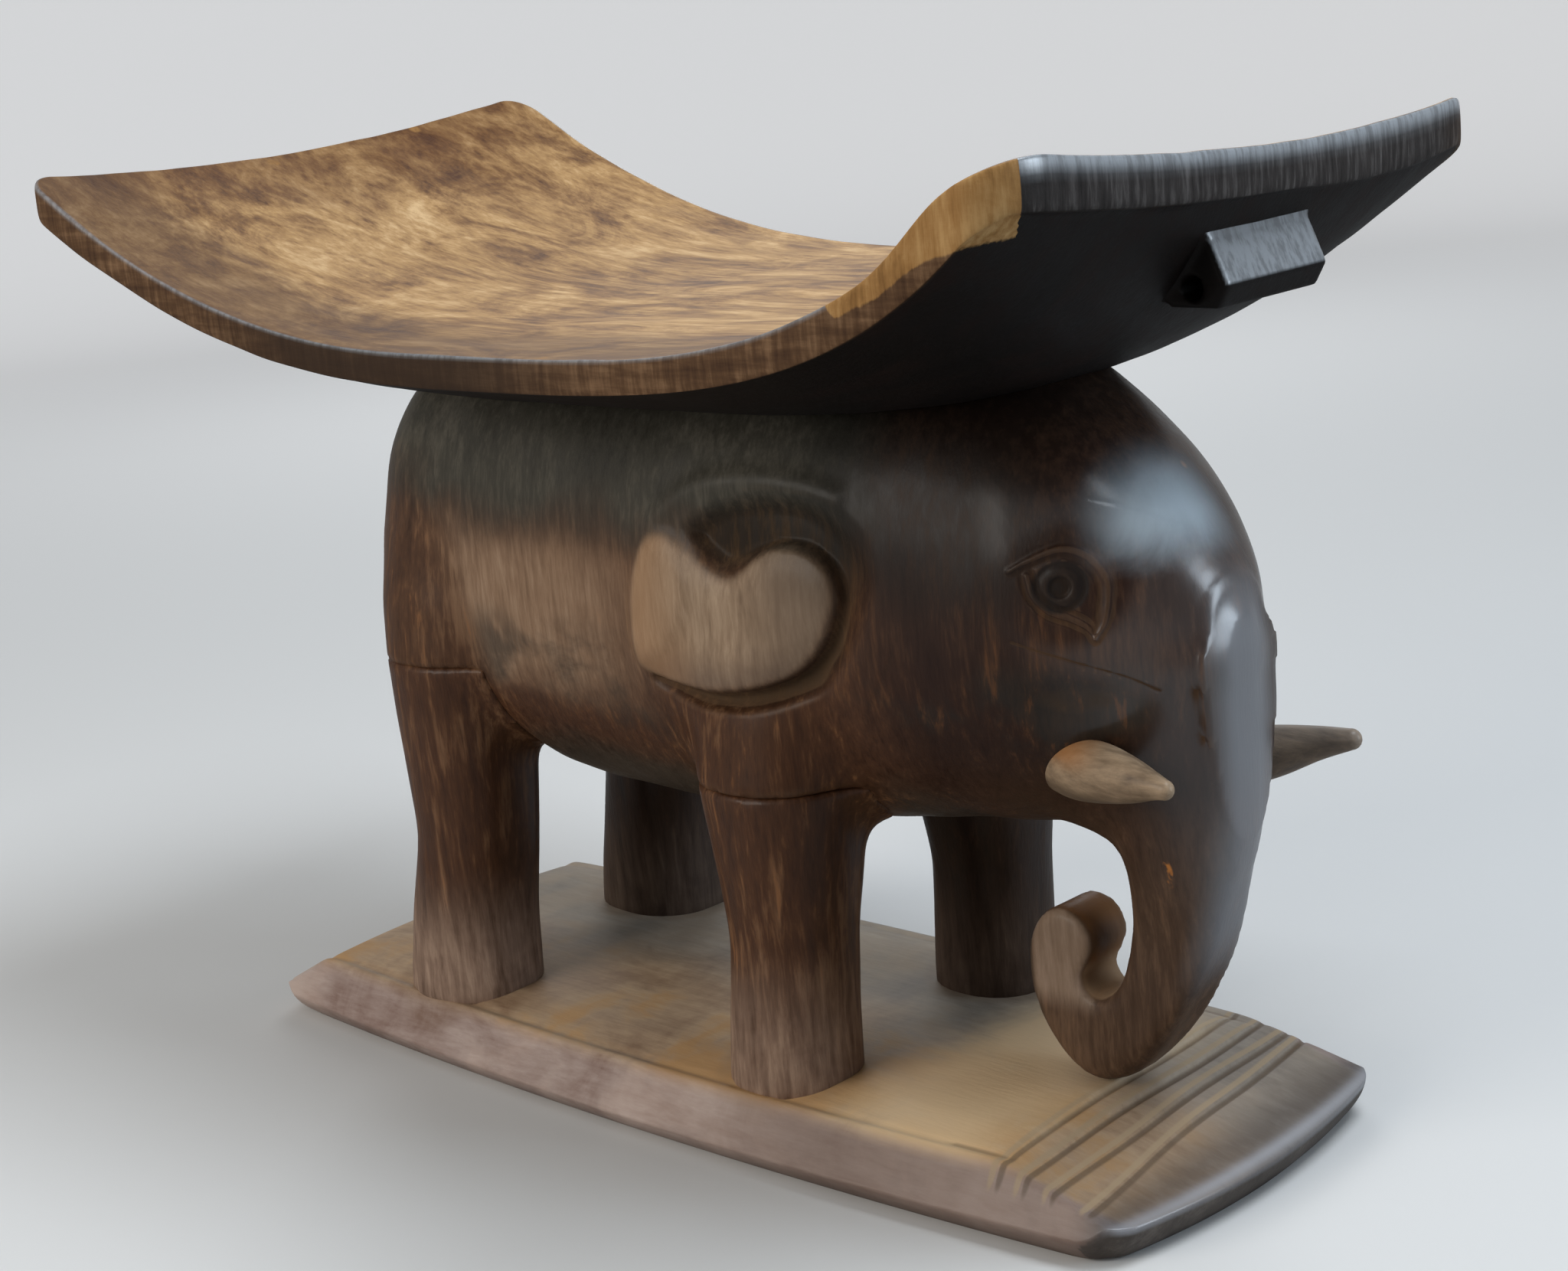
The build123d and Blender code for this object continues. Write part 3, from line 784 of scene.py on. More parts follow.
def base_top(x, y):
    """The least of the rear slope, the front stair and the sides' slope with its raised border."""
    middle = (BASE_LOW[0] + BASE_HIGH[0]) / 2
    half_x, half_y = base_half_sizes(x, y)
    rear = base_slope(half_x + x - middle, BASE_BEVEL_END)
    front = base_stair(x, y, half_x - x + middle)
    inset = half_y - np.abs(y)
    sides = base_slope(inset, BASE_BEVEL_SIDE) - 0.4
    top = smooth_min(smooth_min(rear, front, 1), sides, 2)
    border = 0.9 * bell(inset - 12.5, 2.4) - 0.8 * bell(inset - 17.5, 1.6)
    return np.minimum(top + border * smoothstep(x, 206, 188), BASE_HIGH[2])


# ---- shader maths ----


class Value:
    """A shader socket whose operators add Math nodes."""

    def __init__(self, tree, socket):
        self.tree, self.socket = tree, socket

    def join(self, operation, *inputs):
        node = self.tree.nodes.new("ShaderNodeMath")
        node.operation = operation
        for place, given in enumerate(inputs):
            if isinstance(given, Value):
                self.tree.links.new(given.socket, node.inputs[place])
            else:
                node.inputs[place].default_value = given
        return Value(self.tree, node.outputs[0])

    def __add__(self, other):
        return self.join("ADD", self, other)

    def __sub__(self, other):
        return self.join("SUBTRACT", self, other)

    def __rsub__(self, other):
        return self.join("SUBTRACT", other, self)

    def __mul__(self, other):
        return self.join("MULTIPLY", self, other)

    def __pow__(self, other):
        return self.join("POWER", self, other)

    def clamp(self):
        held = self.join("ADD", self, 0.0)
        held.socket.node.use_clamp = True
        return held

    __radd__ = __add__
    __rmul__ = __mul__


class Finish:
    """One material: its coordinates, its nodes and its Principled shader."""

    def __init__(self, name, **constants):
        self.material = bpy.data.materials.new(name)
        self.material.use_nodes = True
        self.tree = self.material.node_tree
        self.shader = self.tree.nodes["Principled BSDF"]
        for key, value in constants.items():
            self.shader.inputs[key.replace("_", " ")].default_value = value
        self.place = self.read("ShaderNodeTexCoord", "Object")

    def add(self, kind, settings=None, **inputs):
        """A node of any kind: settings first, then values or links for its sockets."""
        node = self.tree.nodes.new(kind)
        for key, value in (settings or {}).items():
            if key == "stops":
                self.set_stops(node, value)
            else:
                setattr(node, key, value)
        for key, value in inputs.items():
            socket = node.inputs[int(key[1:])] if key[0] == "i" and key[1:].isdigit() else node.inputs[key]
            if isinstance(value, Value):
                self.tree.links.new(value.socket, socket)
            else:
                socket.default_value = value
        return node

    def read(self, kind, output, settings=None, **inputs):
        """One output of a new node."""
        return Value(self.tree, self.add(kind, settings, **inputs).outputs[output])

    def set_stops(self, node, stops):
        elements = node.color_ramp.elements
        while len(elements) < len(stops):
            elements.new(0.5)
        for element, (position, colour) in zip(elements, stops):
            element.position = position
            element.color = (*colour, 1.0)

    def stretched(self, scale):
        return self.read("ShaderNodeMapping", 0, Vector=self.place, Scale=scale)

    def noise(self, place, scale, detail=4.0, roughness=0.55, distortion=0.0):
        return self.read(
            "ShaderNodeTexNoise", "Fac",
            Vector=place, Scale=scale, Detail=detail, Roughness=roughness, Distortion=distortion,
        )

    def cells(self, place, scale):
        return self.read("ShaderNodeTexVoronoi", "Distance", Vector=place, Scale=scale)

    def ease(self, value, low, high, to_low=0.0, to_high=1.0):
        return self.read(
            "ShaderNodeMapRange", 0, {"interpolation_type": "SMOOTHSTEP"},
            i0=value, i1=low, i2=high, i3=to_low, i4=to_high,
        )

    def attribute(self, name):
        return self.read("ShaderNodeAttribute", "Fac", {"attribute_name": name})

    def axis(self, index):
        return self.read("ShaderNodeSeparateXYZ", index, Vector=self.place)

    def ramp(self, value, stops):
        return self.read("ShaderNodeValToRGB", 0, {"stops": stops}, Fac=value)

    def mix(self, share, a, b):
        node = self.tree.nodes.new("ShaderNodeMix")
        node.data_type = "RGBA"
        for socket, given in ((node.inputs[0], share), (node.inputs[6], a), (node.inputs[7], b)):
            if isinstance(given, Value):
                self.tree.links.new(given.socket, socket)
            elif isinstance(given, tuple):
                socket.default_value = (*given, 1.0)
            else:
                socket.default_value = given
        return Value(self.tree, node.outputs[2])

    def link(self, name, value):
        self.tree.links.new(value.socket, self.shader.inputs[name])

    def bump(self, height, strength, distance):
        return self.read("ShaderNodeBump", 0, Height=height, Strength=strength, Distance=distance)


class Wood(Finish):
    """Old wood: streaks along the grain, patches, and the carved surfaces' own attributes."""

    def __init__(self, name, grain, **constants):
        super().__init__(name, Coat_Roughness=0.25, Coat_IOR=1.7, **constants)
        self.grain = self.stretched(grain)
        self.streaks = self.noise(self.grain, 60.0, 6.0, 0.62, 0.3)
        self.fine = self.noise(self.grain, 210.0, 4.0, 0.6)
        self.patches = self.noise(self.place, 9.0, 4.0, 0.6, 0.4)
        self.blots = self.noise(self.place, 26.0, 5.0, 0.62, 0.6)
        self.hollow = self.attribute("hollow")
        self.shelter = self.attribute("shelter")
        self.x, self.y, self.z = (self.axis(i) for i in range(3))

    def tones(self, value, *colours, low=0.34, high=0.66):
        """A ramp with its colours spaced evenly between low and high."""
        count = len(colours) - 1
        stops = [(low + (high - low) * i / count, colour) for i, colour in enumerate(colours)]
        return self.ramp(value, stops)

    def lay(self, share, paint):
        """Lays a colour over what is there, by share."""
        self.colour = self.mix(share, self.colour, paint)

    def distance(self, x, z):
        """Distance in side view from the place (x, z)."""
        across, up = self.x - x, self.z - z
        return (across * across + up * up) ** 0.5

    def band(self, value, low, high, soft):
        """1 between low and high, eased over soft on each side."""
        return self.ease(value, low - soft, low + soft) * self.ease(value, high + soft, high - soft)

    def finish(self, roughness, coat, height, strength):
        self.link("Base Color", self.colour)
        self.link("Roughness", roughness)
        self.link("Coat Weight", coat)
        self.link("Normal", self.bump(height, strength, MM))
        return self.material


def limb_tones(w, look):
    """The legs' own colour, which the body takes on too where it runs down into them."""
    tone = w.streaks * 0.46 + w.patches * 0.38 + w.fine * 0.16
    colour = w.tones(tone, (0.024, 0.008, 0.003), tuple(look.leg), (0.19, 0.085, 0.034))
    pale = w.ease(w.streaks * 0.6 + w.patches * 0.6, 0.6, 0.76)
    colour = w.mix(pale * 0.45, colour, (0.2, 0.12, 0.07))
    ochre = w.ease(w.streaks + w.blots * 0.5, 0.88, 1.0)
    return w.mix(ochre * 0.4, colour, (0.26, 0.1, 0.03))


def body_wood(look):
    w = Wood("body_wood", (4, 4, 0.5), Specular_IOR_Level=0.14)
    tone = w.streaks * 0.38 + w.patches * 0.45 + w.fine * 0.17
    height = w.z + w.patches * 0.06 + w.blots * 0.015 - 0.0375
    brown = w.tones(tone, (0.03, 0.011, 0.005), tuple(look.body), (0.19, 0.085, 0.034))
    painted_sheen = w.tones(tone, (0.024, 0.021, 0.015), (0.05, 0.045, 0.034), (0.11, 0.098, 0.076))
    tan = w.tones(tone, (0.11, 0.06, 0.032), (0.25, 0.155, 0.095), (0.4, 0.28, 0.19))
    head = w.tones(tone, (0.014, 0.005, 0.003), (0.028, 0.012, 0.007), (0.085, 0.04, 0.02))
    w.colour = w.mix(w.band(w.x, -0.165, 0.012, 0.045) * w.band(height, 0.186, 0.25, 0.014), brown, tan)
    haunch = w.ease(w.x + w.patches * 0.05, -0.1, -0.14) * w.band(height, 0.19, 0.245, 0.015)
    w.lay(haunch * 0.6, (0.34, 0.26, 0.2))
    # Painted reflection: a grey-green sheen laid over the upper flank, and more weakly over the belly.
    w.lay(w.ease(height, 0.24, 0.275), painted_sheen)
    w.lay(w.ease(height, 0.166, 0.14) * 0.75, painted_sheen)
    fore = w.ease(w.x + w.patches * 0.05, 0.14, 0.185)
    w.lay(fore * w.ease(height, 0.12, 0.16), head)
    smoky = w.ease(w.patches + w.blots * 0.4, 0.66, 0.8) * w.band(w.z, 0.13, 0.215, 0.01)
    w.lay(smoky * 0.7, (0.02, 0.018, 0.015))
    ochre = w.ease(w.streaks + w.blots * 0.5, 0.84, 0.98) * w.ease(height, 0.27, 0.2)
    ochre = ochre * w.ease(w.patches, 0.42, 0.55)
    w.lay(ochre * 0.3, (0.24, 0.09, 0.027))
    trunk = w.ease(w.z, 0.19, 0.14) * w.ease(w.x, 0.15, 0.17)
    w.lay(trunk * 0.6, w.tones(tone, (0.03, 0.012, 0.006), (0.075, 0.036, 0.02), (0.17, 0.09, 0.05)))
    tip = w.ease(w.x, 0.192, 0.186) * w.band(w.z, 0.066, 0.12, 0.006) * w.ease(w.x, 0.15, 0.156)
    face = w.tones(tone, (0.12, 0.078, 0.052), (0.2, 0.138, 0.096), (0.3, 0.215, 0.16))
    w.lay(tip * w.ease(w.y, -0.0105, -0.0125) * w.ease(w.x, 0.159, 0.163), face)
    w.lay(tip * w.ease(w.y, -0.012, -0.0085) * w.ease(w.x, 0.166, 0.174) * 0.8, (0.2, 0.088, 0.03))
    bowl = w.band(w.z, 0.068, 0.082, 0.004) * w.band(w.x, 0.182, 0.203, 0.003) * w.ease(w.y, -0.012, -0.01)
    w.lay(bowl * 0.8, (0.3, 0.2, 0.12))
    w.lay(w.attribute("limb") * 0.9, limb_tones(w, look))
    lobe = w.attribute("lobe")
    lobe_tones = w.tones(tone, (0.13, 0.08, 0.048), (0.29, 0.2, 0.13), (0.46, 0.34, 0.235))
    w.lay(lobe * w.ease(w.z + w.patches * 0.02, 0.284, 0.262), lobe_tones)
    w.lay(lobe * w.ease(w.z + w.blots * 0.02, 0.228, 0.212) * 0.6, (0.12, 0.078, 0.058))
    w.lay(lobe * w.ease(w.x + w.patches * 0.03, 0.09, 0.125) * 0.6, (0.12, 0.085, 0.062))
    w.lay(lobe * w.ease(w.x + w.patches * 0.04, 0.085, 0.045) * 0.45, (0.4, 0.215, 0.1))
    # Painted shade: near-black laid in the ear's hollow and, more lightly, in the eye's grooves.
    recess = w.attribute("recess")
    recess_shade_tones = w.tones(tone, (0.006, 0.003, 0.001), (0.016, 0.009, 0.004), (0.07, 0.038, 0.016))
    w.lay(recess * w.ease(w.x, 0.12, 0.136, 0.94, 0.3), recess_shade_tones)
    dusty = w.ease(w.hollow + w.blots * 0.02, 0.035, 0.12) * w.ease(height, 0.27, 0.22)
    w.lay(dusty * 0.25, (0.2, 0.12, 0.065))
    worn = w.ease(w.hollow, -0.1, -0.3)
    w.lay(worn * 0.2, (0.2, 0.12, 0.07))
    chips = w.ease(w.cells(w.stretched((1, 1, 0.4)), 50.0), 0.15, 0.1) * w.ease(w.blots, 0.57, 0.62)
    w.lay(chips * w.ease(w.x, 0.222, 0.235), (0.4, 0.15, 0.03))
    # Painted shade: darker where the wood around shelters the surface.
    shelter_shade = w.ease(w.shelter, 0.3, 0.6)
    w.lay(shelter_shade * 0.5, (0.02, 0.012, 0.008))
    w.lay(w.attribute("crack") * 0.35, (0.012, 0.007, 0.004))
    # Painted highlight: a pale bluish patch on the forehead, where a lamp's gloss falls.
    brow_highlight = w.band(w.x + w.blots * 0.012 - 0.006, 0.228, 0.262, 0.012)
    brow_highlight = brow_highlight * w.band(w.z + w.blots * 0.014 - 0.007, 0.258, 0.29, 0.012) * w.band(w.y, -0.04, 0.008, 0.014)
    w.lay(brow_highlight * 0.9, (0.46, 0.55, 0.62))
    # Painted highlight: a pale bluish band down the front of the trunk.
    lower = w.ease(w.z, 0.17, 0.07) * (w.z * -1 + 0.17)
    trunk_highlight = w.ease(w.x + lower * 0.24 + w.blots * 0.006, 0.249, 0.26) * w.band(w.y, -0.014, 0.014, 0.008)
    w.lay(trunk_highlight * w.band(w.z, 0.09, 0.24, 0.02) * 0.5, (0.26, 0.28, 0.31))
    # Painted shade: near-black laid over the top of the head under the seat.
    nape_shade = w.band(w.x, 0.11, 0.212, 0.02) * w.ease(w.z, 0.225, 0.26)
    w.lay(nape_shade * 0.6, (0.007, 0.0062, 0.005))
    from_eye = w.distance(EYE[0] * MM, EYE[1] * MM)
    iris = w.ease(from_eye, 0.0105, 0.0085) * w.ease(w.y, -0.01, -0.018)
    w.lay(iris * 0.75, (0.008, 0.0065, 0.006))
    polish = w.ease(w.x + w.z * 0.25, 0.25, 0.3) * w.ease(from_eye, 0.018, 0.026)
    roughness = w.ease(w.streaks + w.blots * 0.4, 0.45, 0.95, 0.4, 0.6)
    roughness = roughness + dusty * 0.2 + recess * 0.2 - polish * 0.1
    return w.finish(roughness, (1 - dusty) * (polish * 0.85 + 0.04), w.streaks * 0.5 + w.fine * 0.5, 0.25)


def leg_wood(look):
    w = Wood("leg_wood", (4, 4, 0.5), Specular_IOR_Level=0.14)
    w.colour = limb_tones(w, look)
    foot = w.ease(w.z + w.blots * 0.03, 0.11, 0.06)
    tone = w.streaks * 0.6 + w.blots * 0.4
    dusty = w.tones(tone, (0.1, 0.058, 0.038), (0.25, 0.165, 0.12), (0.42, 0.3, 0.22))
    w.lay(foot * w.ease(w.x, 0.0, 0.1, 1.0, 0.7), dusty)
    # Painted shade: the legs on the far side turn near-black.
    far = w.ease(w.y, -0.01, 0.03)
    w.lay(far * 0.75, (0.009, 0.006, 0.0045))
    # Painted shade: darker where the wood around shelters the surface.
    shelter_shade = w.ease(w.shelter, 0.3, 0.6)
    w.lay(shelter_shade * 0.4, (0.02, 0.012, 0.008))
    roughness = w.ease(w.streaks + w.blots * 0.4, 0.45, 0.95, 0.4, 0.6) + foot * 0.1
    return w.finish(roughness, (1 - foot) * 0.1, w.streaks * 0.6 + w.fine * 0.4, 0.45)


def seat_wood(look):
    w = Wood("seat_wood", (0.45, 3.5, 3.5), Specular_IOR_Level=0.12)
    cloud = w.noise(w.stretched((1, 1.8, 1.8)), 13.0, 6.0, 0.66, 1.2)
    tone = cloud * 0.5 + w.patches * 0.2 + w.streaks * 0.2 + w.fine * 0.1
    top = w.tones(
        tone, (0.07, 0.026, 0.009), (0.22, 0.11, 0.04), tuple(look.seat), (0.62, 0.41, 0.21),
        low=0.39, high=0.61,
    )
    rear = w.ease(w.x + w.patches * 0.16, -0.13, -0.24)
    aged = w.tones(tone, (0.035, 0.01, 0.004), (0.1, 0.034, 0.01), (0.19, 0.078, 0.02))
    top = w.mix(rear * 0.85, top, aged)
    near = w.ease(w.y + w.patches * 0.06, -0.045, -0.095)
    handled = w.tones(tone, (0.04, 0.016, 0.007), (0.11, 0.053, 0.023), (0.23, 0.135, 0.068))
    top = w.mix(near * 0.75, top, handled)
    fibres = w.noise(w.stretched((6, 6, 0.7)), 60.0, 5.0, 0.6)
    grain = w.streaks * 0.4 + fibres * 0.4 + w.patches * 0.2
    side = w.tones(grain, (0.03, 0.012, 0.006), (0.1, 0.052, 0.025), (0.24, 0.14, 0.075))
    side = w.mix(w.band(w.x, -0.12, 0.06, 0.05) * 0.85, side, (0.03, 0.017, 0.01))
    end_grain = fibres * 0.7 + w.blots * 0.3
    face = w.tones(end_grain, (0.009, 0.007, 0.006), (0.03, 0.025, 0.023), (0.1, 0.09, 0.085))
    side = w.mix(w.ease(w.x, 0.268, 0.276) * w.ease(w.y, -0.147, -0.142), side, face)
    # Painted shade: the underside, and the lug, are laid near-black.
    under = w.tones(tone, (0.0012, 0.0007, 0.0005), (0.003, 0.0014, 0.0009), (0.01, 0.0035, 0.002))
    below = w.attribute("underside")
    w.colour = w.mix(w.attribute("rim"), top, side)
    w.lay(below, under)
    worn = w.ease(w.attribute("worn") * 0.1 + w.blots * 0.6 + fibres * 0.2 - 0.4, -0.05, 0.06)
    ochre = w.tones(fibres * 0.5 + w.blots * 0.5, (0.15, 0.07, 0.02), (0.33, 0.175, 0.06), (0.5, 0.31, 0.13))
    w.lay(worn, ochre)
    # Painted highlight: a pale bluish line along the worn arris of the rim and on the lug's upper facet; the
    # arris is also smoother and glossier.
    arris = w.attribute("arris")
    w.lay(arris * (1 - worn) * w.ease(fibres, 0.35, 0.6, 0.4, 0.72), (0.3, 0.325, 0.35))
    knocks = w.ease(w.cells(w.place, 24.0), 0.1, 0.05) * w.ease(w.blots, 0.52, 0.6)
    w.lay(knocks * (1 - below), (0.3, 0.15, 0.045))
    roughness = w.ease(tone, 0.3, 0.7, 0.56, 0.7) - arris * 0.22 + worn * 0.1 + below * 0.02
    coat = (1 - worn) * (arris * 0.9 + below * 0.02)
    return w.finish(roughness, coat, fibres * 0.3 + w.streaks * 0.4 + w.fine * 0.3, 0.4)


def base_wood(look):
    w = Wood("base_wood", (0.5, 3.0, 3.0), Specular_IOR_Level=0.22)
    tone = w.patches * 0.35 + w.blots * 0.35 + w.streaks * 0.2 + w.fine * 0.1
    w.colour = w.tones(tone, (0.24, 0.145, 0.085), tuple(look.base), (0.6, 0.46, 0.31), low=0.38, high=0.62)
    ochre = w.ease(w.patches * 0.7 + w.blots * 0.5, 0.57, 0.7)
    w.lay(ochre * 0.7, (0.45, 0.24, 0.08))
    far = w.ease(w.y + w.patches * 0.06, 0.0, 0.055)
    w.lay(far * 0.7, w.tones(tone, (0.13, 0.13, 0.12), (0.26, 0.255, 0.235), (0.4, 0.39, 0.36)))
    edge = w.attribute("edge")
    edge_tones = w.tones(
        tone, (0.2, 0.125, 0.11), (0.35, 0.275, 0.265), (0.52, 0.44, 0.43), low=0.38, high=0.62
    )
    w.lay(edge * 0.75, edge_tones)
    w.lay(edge * w.ease(w.x, 0.0, 0.12) * 0.6, (0.15, 0.1, 0.075))
    w.lay(w.ease(w.x + w.blots * 0.02, -0.215, -0.235) * 0.4, (0.6, 0.49, 0.43))
    fore = w.ease(w.x + w.blots * 0.014, 0.236, 0.256)
    fore_tones = w.tones(
        tone, (0.02, 0.018, 0.017), (0.048, 0.048, 0.05), (0.12, 0.12, 0.125), low=0.38, high=0.62
    )
    w.lay(fore * 0.75, fore_tones)
    w.lay(w.ease(w.x + w.blots * 0.02, 0.195, 0.23) * (1 - edge) * 0.4, (0.1, 0.07, 0.05))
    stair = w.attribute("stair")
    w.lay(w.ease(stair + w.blots * 0.3, 0.3, 0.9) * 0.75, (0.34, 0.25, 0.155))
    w.lay(w.ease(w.blots * 0.3 - stair, 0.3, 0.9) * 0.65, (0.09, 0.06, 0.038))
    # Painted light: a pale ochre pool on the slab's top round the front feet.
    light_pool = w.band(w.x + w.blots * 0.03, 0.13, 0.2, 0.02) * w.band(w.y + w.patches * 0.03, -0.09, 0.08, 0.02)
    w.lay(light_pool * (1 - edge) * 0.7, (0.78, 0.57, 0.34))
    cut = w.ease(w.hollow, 0.05, 0.22)
    w.lay(cut * 0.5, (0.1, 0.06, 0.033))
    # Painted shade: darker round each foot and the trunk's tip.
    foot = w.ease(w.shelter + w.blots * 0.3, 0.25, 0.85)
    w.lay(foot * 0.2, (0.2, 0.12, 0.06))
    endface = w.attribute("endface")
    w.lay(endface * 0.85, w.tones(tone, (0.035, 0.027, 0.022), (0.1, 0.082, 0.068), (0.24, 0.2, 0.17)))
    # Painted highlight: a pale bluish line along the front arris, which is also smoother and glossier.
    arris = w.attribute("arris")
    w.lay(arris * 0.6, (0.34, 0.35, 0.38))
    roughness = w.ease(tone, 0.35, 0.65, 0.56, 0.74) - edge * 0.06 - arris * 0.2 + endface * 0.1
    coat = edge * 0.06 + arris * 0.7
    return w.finish(roughness, coat, w.streaks * 0.4 + w.fine * 0.3 + w.blots * 0.3, 0.5)


def tusk_wood(look):
    w = Wood("tusk_wood", (0.7, 3.0, 3.0), Specular_IOR_Level=0.25)
    tone = w.streaks * 0.5 + w.blots * 0.3 + w.fine * 0.2
    w.colour = w.tones(tone, (0.1, 0.064, 0.038), tuple(look.tusk), (0.42, 0.3, 0.19))
    root = w.ease(w.x + w.blots * 0.02, 0.245, 0.224) * w.ease(w.z + w.blots * 0.01, 0.182, 0.189)
    w.lay(root * 0.75, (0.34, 0.145, 0.045))
    low = w.ease(w.z, 0.175, 0.168) * w.ease(w.y, 0.0, -0.02)
    w.lay(low * 0.6, (0.05, 0.032, 0.02))
    w.lay(w.ease(w.y, 0, 0.02) * 0.4, (0.17, 0.165, 0.165))
    roughness = w.ease(tone, 0.35, 0.65, 0.5, 0.68)
    return w.finish(roughness, 0.03 + w.ease(w.x, 0.255, 0.27) * 0.15, w.streaks * 0.6 + w.fine * 0.4, 0.45)


def dowel_wood(look):
    w = Wood("dowel_wood", (3, 3, 0.4), Specular_IOR_Level=0.35)
    tone = w.streaks * 0.7 + w.fine * 0.3
    w.colour = w.tones(tone, (0.24, 0.15, 0.08), (0.38, 0.26, 0.15), (0.5, 0.37, 0.23))
    return w.finish(w.ease(tone, 0.35, 0.65, 0.6, 0.75), w.ease(tone, 0.2, 0.8, 0.0, 0.03), w.streaks, 0.3)


MAKERS = {
    maker.__name__: maker
    for maker in (body_wood, leg_wood, seat_wood, base_wood, tusk_wood, dowel_wood)
}


def material(slot):
    """The finish of a slot, made once; the CAD pieces bring plain materials with the slots' own names."""
    name = f"{slot}_finish"
    if name not in bpy.data.materials:
        MAKERS[slot](bpy.context.scene.stool_colours).name = name
    return bpy.data.materials[name]


# ---- slabs: seat and base ----


def sine_spread(count):
    """Places from -1 to 1 that crowd towards both ends."""
    return np.sin(np.linspace(-1, 1, count) * math.pi / 2 * 0.86) / math.sin(math.pi / 2 * 0.86)


def slab_grid(half_x, half_y, corners, along, across):
    """Plan of a slab from -1..1 squares: corner blocks of the square are bent into arcs.

    A point in a corner block keeps its direction from the block's inner corner, and its greater
    coordinate becomes its distance, which turns the block into a quarter of an ellipse.
    """
    u, v = np.meshgrid(along, across, indexing="ij")
    x, y = u * half_x, v * half_y
    for (sx, sy), (long, wide) in corners.items():
        a = (x * sx - half_x + long) / long
        b = (y * sy - half_y + wide) / wide
        block = (a > 0) & (b > 0)
        reach = np.maximum(a, b) / np.maximum(np.hypot(a, b), 1e-9)
        x = np.where(block, sx * (half_x - long + long * a * reach), x)
        y = np.where(block, sy * (half_y - wide + wide * b * reach), y)
    return x, y


def make_slab(plan_x, plan_y, top, under, rim, steps=9):
    """Top and underside sheets over one plan, joined by a rim.

    rim(q, x, y, out_x, out_y, z_top, z_low) gives the rim's points at q from 0 on the top sheet's
    edge to 1 on the underside's edge; out is the plan's outward direction. Returns points, quads
    and each point's place down the rim, 0 on top and 1 underneath.
    """
    nx, ny = plan_x.shape
    sheet = np.arange(nx * ny).reshape(nx, ny)
    edge = np.concatenate([sheet[:-1, 0], sheet[-1, :-1], sheet[:0:-1, -1], sheet[0, :0:-1]])
    z_top, z_low = top(plan_x, plan_y), under(plan_x, plan_y)
    flat = np.stack([plan_x.ravel(), plan_y.ravel()], 1)
    ring = flat[edge]
    tangent = np.roll(ring, -1, 0) - np.roll(ring, 1, 0)
    out = np.stack([tangent[:, 1], -tangent[:, 0]], 1)
    out = out / np.linalg.norm(out, axis=1, keepdims=True)
    upper = np.column_stack([flat, z_top.ravel()])
    lower = np.column_stack([flat, z_low.ravel()])
    q = (np.arange(1, steps) / steps)[:, None]
    rims = rim(q, *ring.T[:, None], *out.T[:, None], z_top.ravel()[edge], z_low.ravel()[edge])
    rims = np.stack([np.broadcast_to(part, (steps - 1, len(edge))) for part in rims], -1).reshape(-1, 3)
    count = nx * ny
    between = 2 * count + np.arange((steps - 1) * len(edge)).reshape(steps - 1, -1)
    rows = np.vstack([edge, between, edge + count])
    points = np.vstack([upper, lower, rims])
    around = np.column_stack([rows, rows[:, 0]])
    quads = np.vstack([grid_quads(sheet), grid_quads(sheet + count)[:, ::-1], grid_quads(around)])
    down = np.concatenate([np.zeros(count), np.ones(count), np.repeat(q[:, 0], len(edge))])
    return points, quads, down


# Wear at the near front corner: place along the seat and how far down the side it reaches
WEAR = (
    (205, -6), (211, 3), (214, 7), (224, 8), (236, 11),
    (243, 12.5), (253, 15.5), (262, 19), (276, 23), (290, 24),
)

# How far the rim bulges out from the plan, and how far it stays inside the solid's edge
RIM_INSET, RIM_SPARE = 2.2, 0.9


